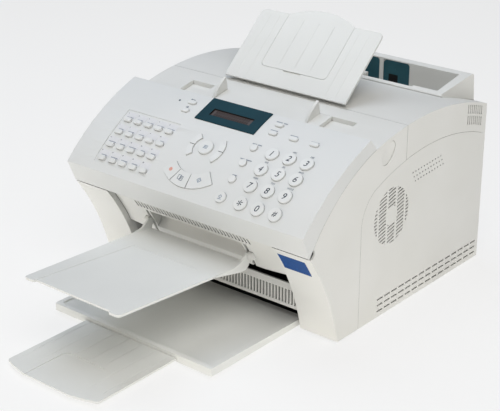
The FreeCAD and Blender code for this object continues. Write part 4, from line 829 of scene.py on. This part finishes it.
# Floor, light and camera
stageSet = {"floor": "#F4F4F3", "backdrop": "#F8F8F8", "floorSize": 14.0, "bounce": 0.7, "fill": "#FFFBF3",
            "worldStrength": 0.17}
floorMesh = bpy.data.meshes.new("floor")
work = bmesh.new()
bmesh.ops.create_grid(work, x_segments=1, y_segments=1, size=stageSet["floorSize"] / 2)
work.to_mesh(floorMesh)
work.free()
floor = bpy.data.objects.new("floor", floorMesh)
scene.collection.objects.link(floor)
floorPaint = newMaterial("paleFloor")
tree = floorPaint.node_tree
rays = addNode(tree, "ShaderNodeLightPath")
seen = addNode(tree, "ShaderNodeMath", {"operation": "MAXIMUM"},
               {0: rays.outputs["Is Camera Ray"], 1: rays.outputs["Is Glossy Ray"]})
share = addNode(tree, "ShaderNodeMath", {"operation": "MULTIPLY", 1: 0.75}, {0: seen.outputs["Value"]})
# painted light: for diffuse rays the floor also glows, lighting the object from below beyond what it reflects
lift = addNode(tree, "ShaderNodeMath", {"operation": "MULTIPLY", 1: stageSet["bounce"]},
               {0: rays.outputs["Is Diffuse Ray"]})
paint = addNode(tree, "ShaderNodeBsdfDiffuse", {"Color": linear(stageSet["floor"])})
fill = addNode(tree, "ShaderNodeEmission", {"Color": linear(stageSet["fill"])}, {"Strength": lift.outputs["Value"]})
matt = addNode(tree, "ShaderNodeAddShader", links={0: paint.outputs["BSDF"], 1: fill.outputs["Emission"]})
glow = addNode(tree, "ShaderNodeEmission", {"Color": linear(stageSet["backdrop"]), "Strength": 1.0})
both = addNode(tree, "ShaderNodeMixShader", links={0: share.outputs["Value"], 1: matt.outputs["Shader"],
                                                   2: glow.outputs["Emission"]})
addNode(tree, "ShaderNodeOutputMaterial", links={"Surface": both.outputs["Shader"]})
floorMesh.materials.append(floorPaint)

world = bpy.data.worlds.new("studio")
scene.world = world
world.use_nodes = True
tree = world.node_tree
tree.nodes.clear()
rays = addNode(tree, "ShaderNodeLightPath")
seen = addNode(tree, "ShaderNodeMath", {"operation": "MAXIMUM"},
               {0: rays.outputs["Is Camera Ray"], 1: rays.outputs["Is Transmission Ray"]})
lit = addNode(tree, "ShaderNodeBackground", {"Color": linear("#FFFFFF"), "Strength": stageSet["worldStrength"]})
shown = addNode(tree, "ShaderNodeBackground", {"Color": linear(stageSet["backdrop"]), "Strength": 1.0})
both = addNode(tree, "ShaderNodeMixShader", links={0: seen.outputs["Value"], 1: lit.outputs["Background"],
                                                   2: shown.outputs["Background"]})
addNode(tree, "ShaderNodeOutputWorld", links={"Surface": both.outputs["Shader"]})

lamps = {  # place in metres, watts, size in metres, tint
    "rightSoftbox": ((1.2, -0.9, 2.1), 34.5, 1.6, "#FFFDFA"),
    "leftSoftbox": ((-0.8, 0.2, 2.2), 21.5, 1.6, "#E4EFFF"),
    "lowSoftbox": ((-1.0, -1.4, 0.3), 7.5, 0.9, "#FFF8EC"),
}
for name, (spot, power, size, tint) in lamps.items():
    data = bpy.data.lights.new(name, "AREA")
    data.energy = power
    data.size = size
    data.color = linear(tint)[:3]
    lamp = bpy.data.objects.new(name, data)
    lamp.location = spot
    lamp.rotation_euler = (Vector((0, 0, 0.12)) - Vector(spot)).to_track_quat("-Z", "Y").to_euler()
    scene.collection.objects.link(lamp)

view = {"place": (1.07367, -1.24184, 0.82891), "azimuth": 39.7212, "elevation": 23.0794, "lens": 97.42}
camera = bpy.data.objects.new("camera", bpy.data.cameras.new("camera"))
camera.data.lens = view["lens"]
camera.data.sensor_width = 36.0
camera.data.sensor_fit = "HORIZONTAL"
camera.location = view["place"]
camera.rotation_euler = (math.radians(90 - view["elevation"]), 0, math.radians(view["azimuth"]))
scene.collection.objects.link(camera)
scene.camera = camera
scene.view_settings.view_transform = "Standard"
print("stage set")
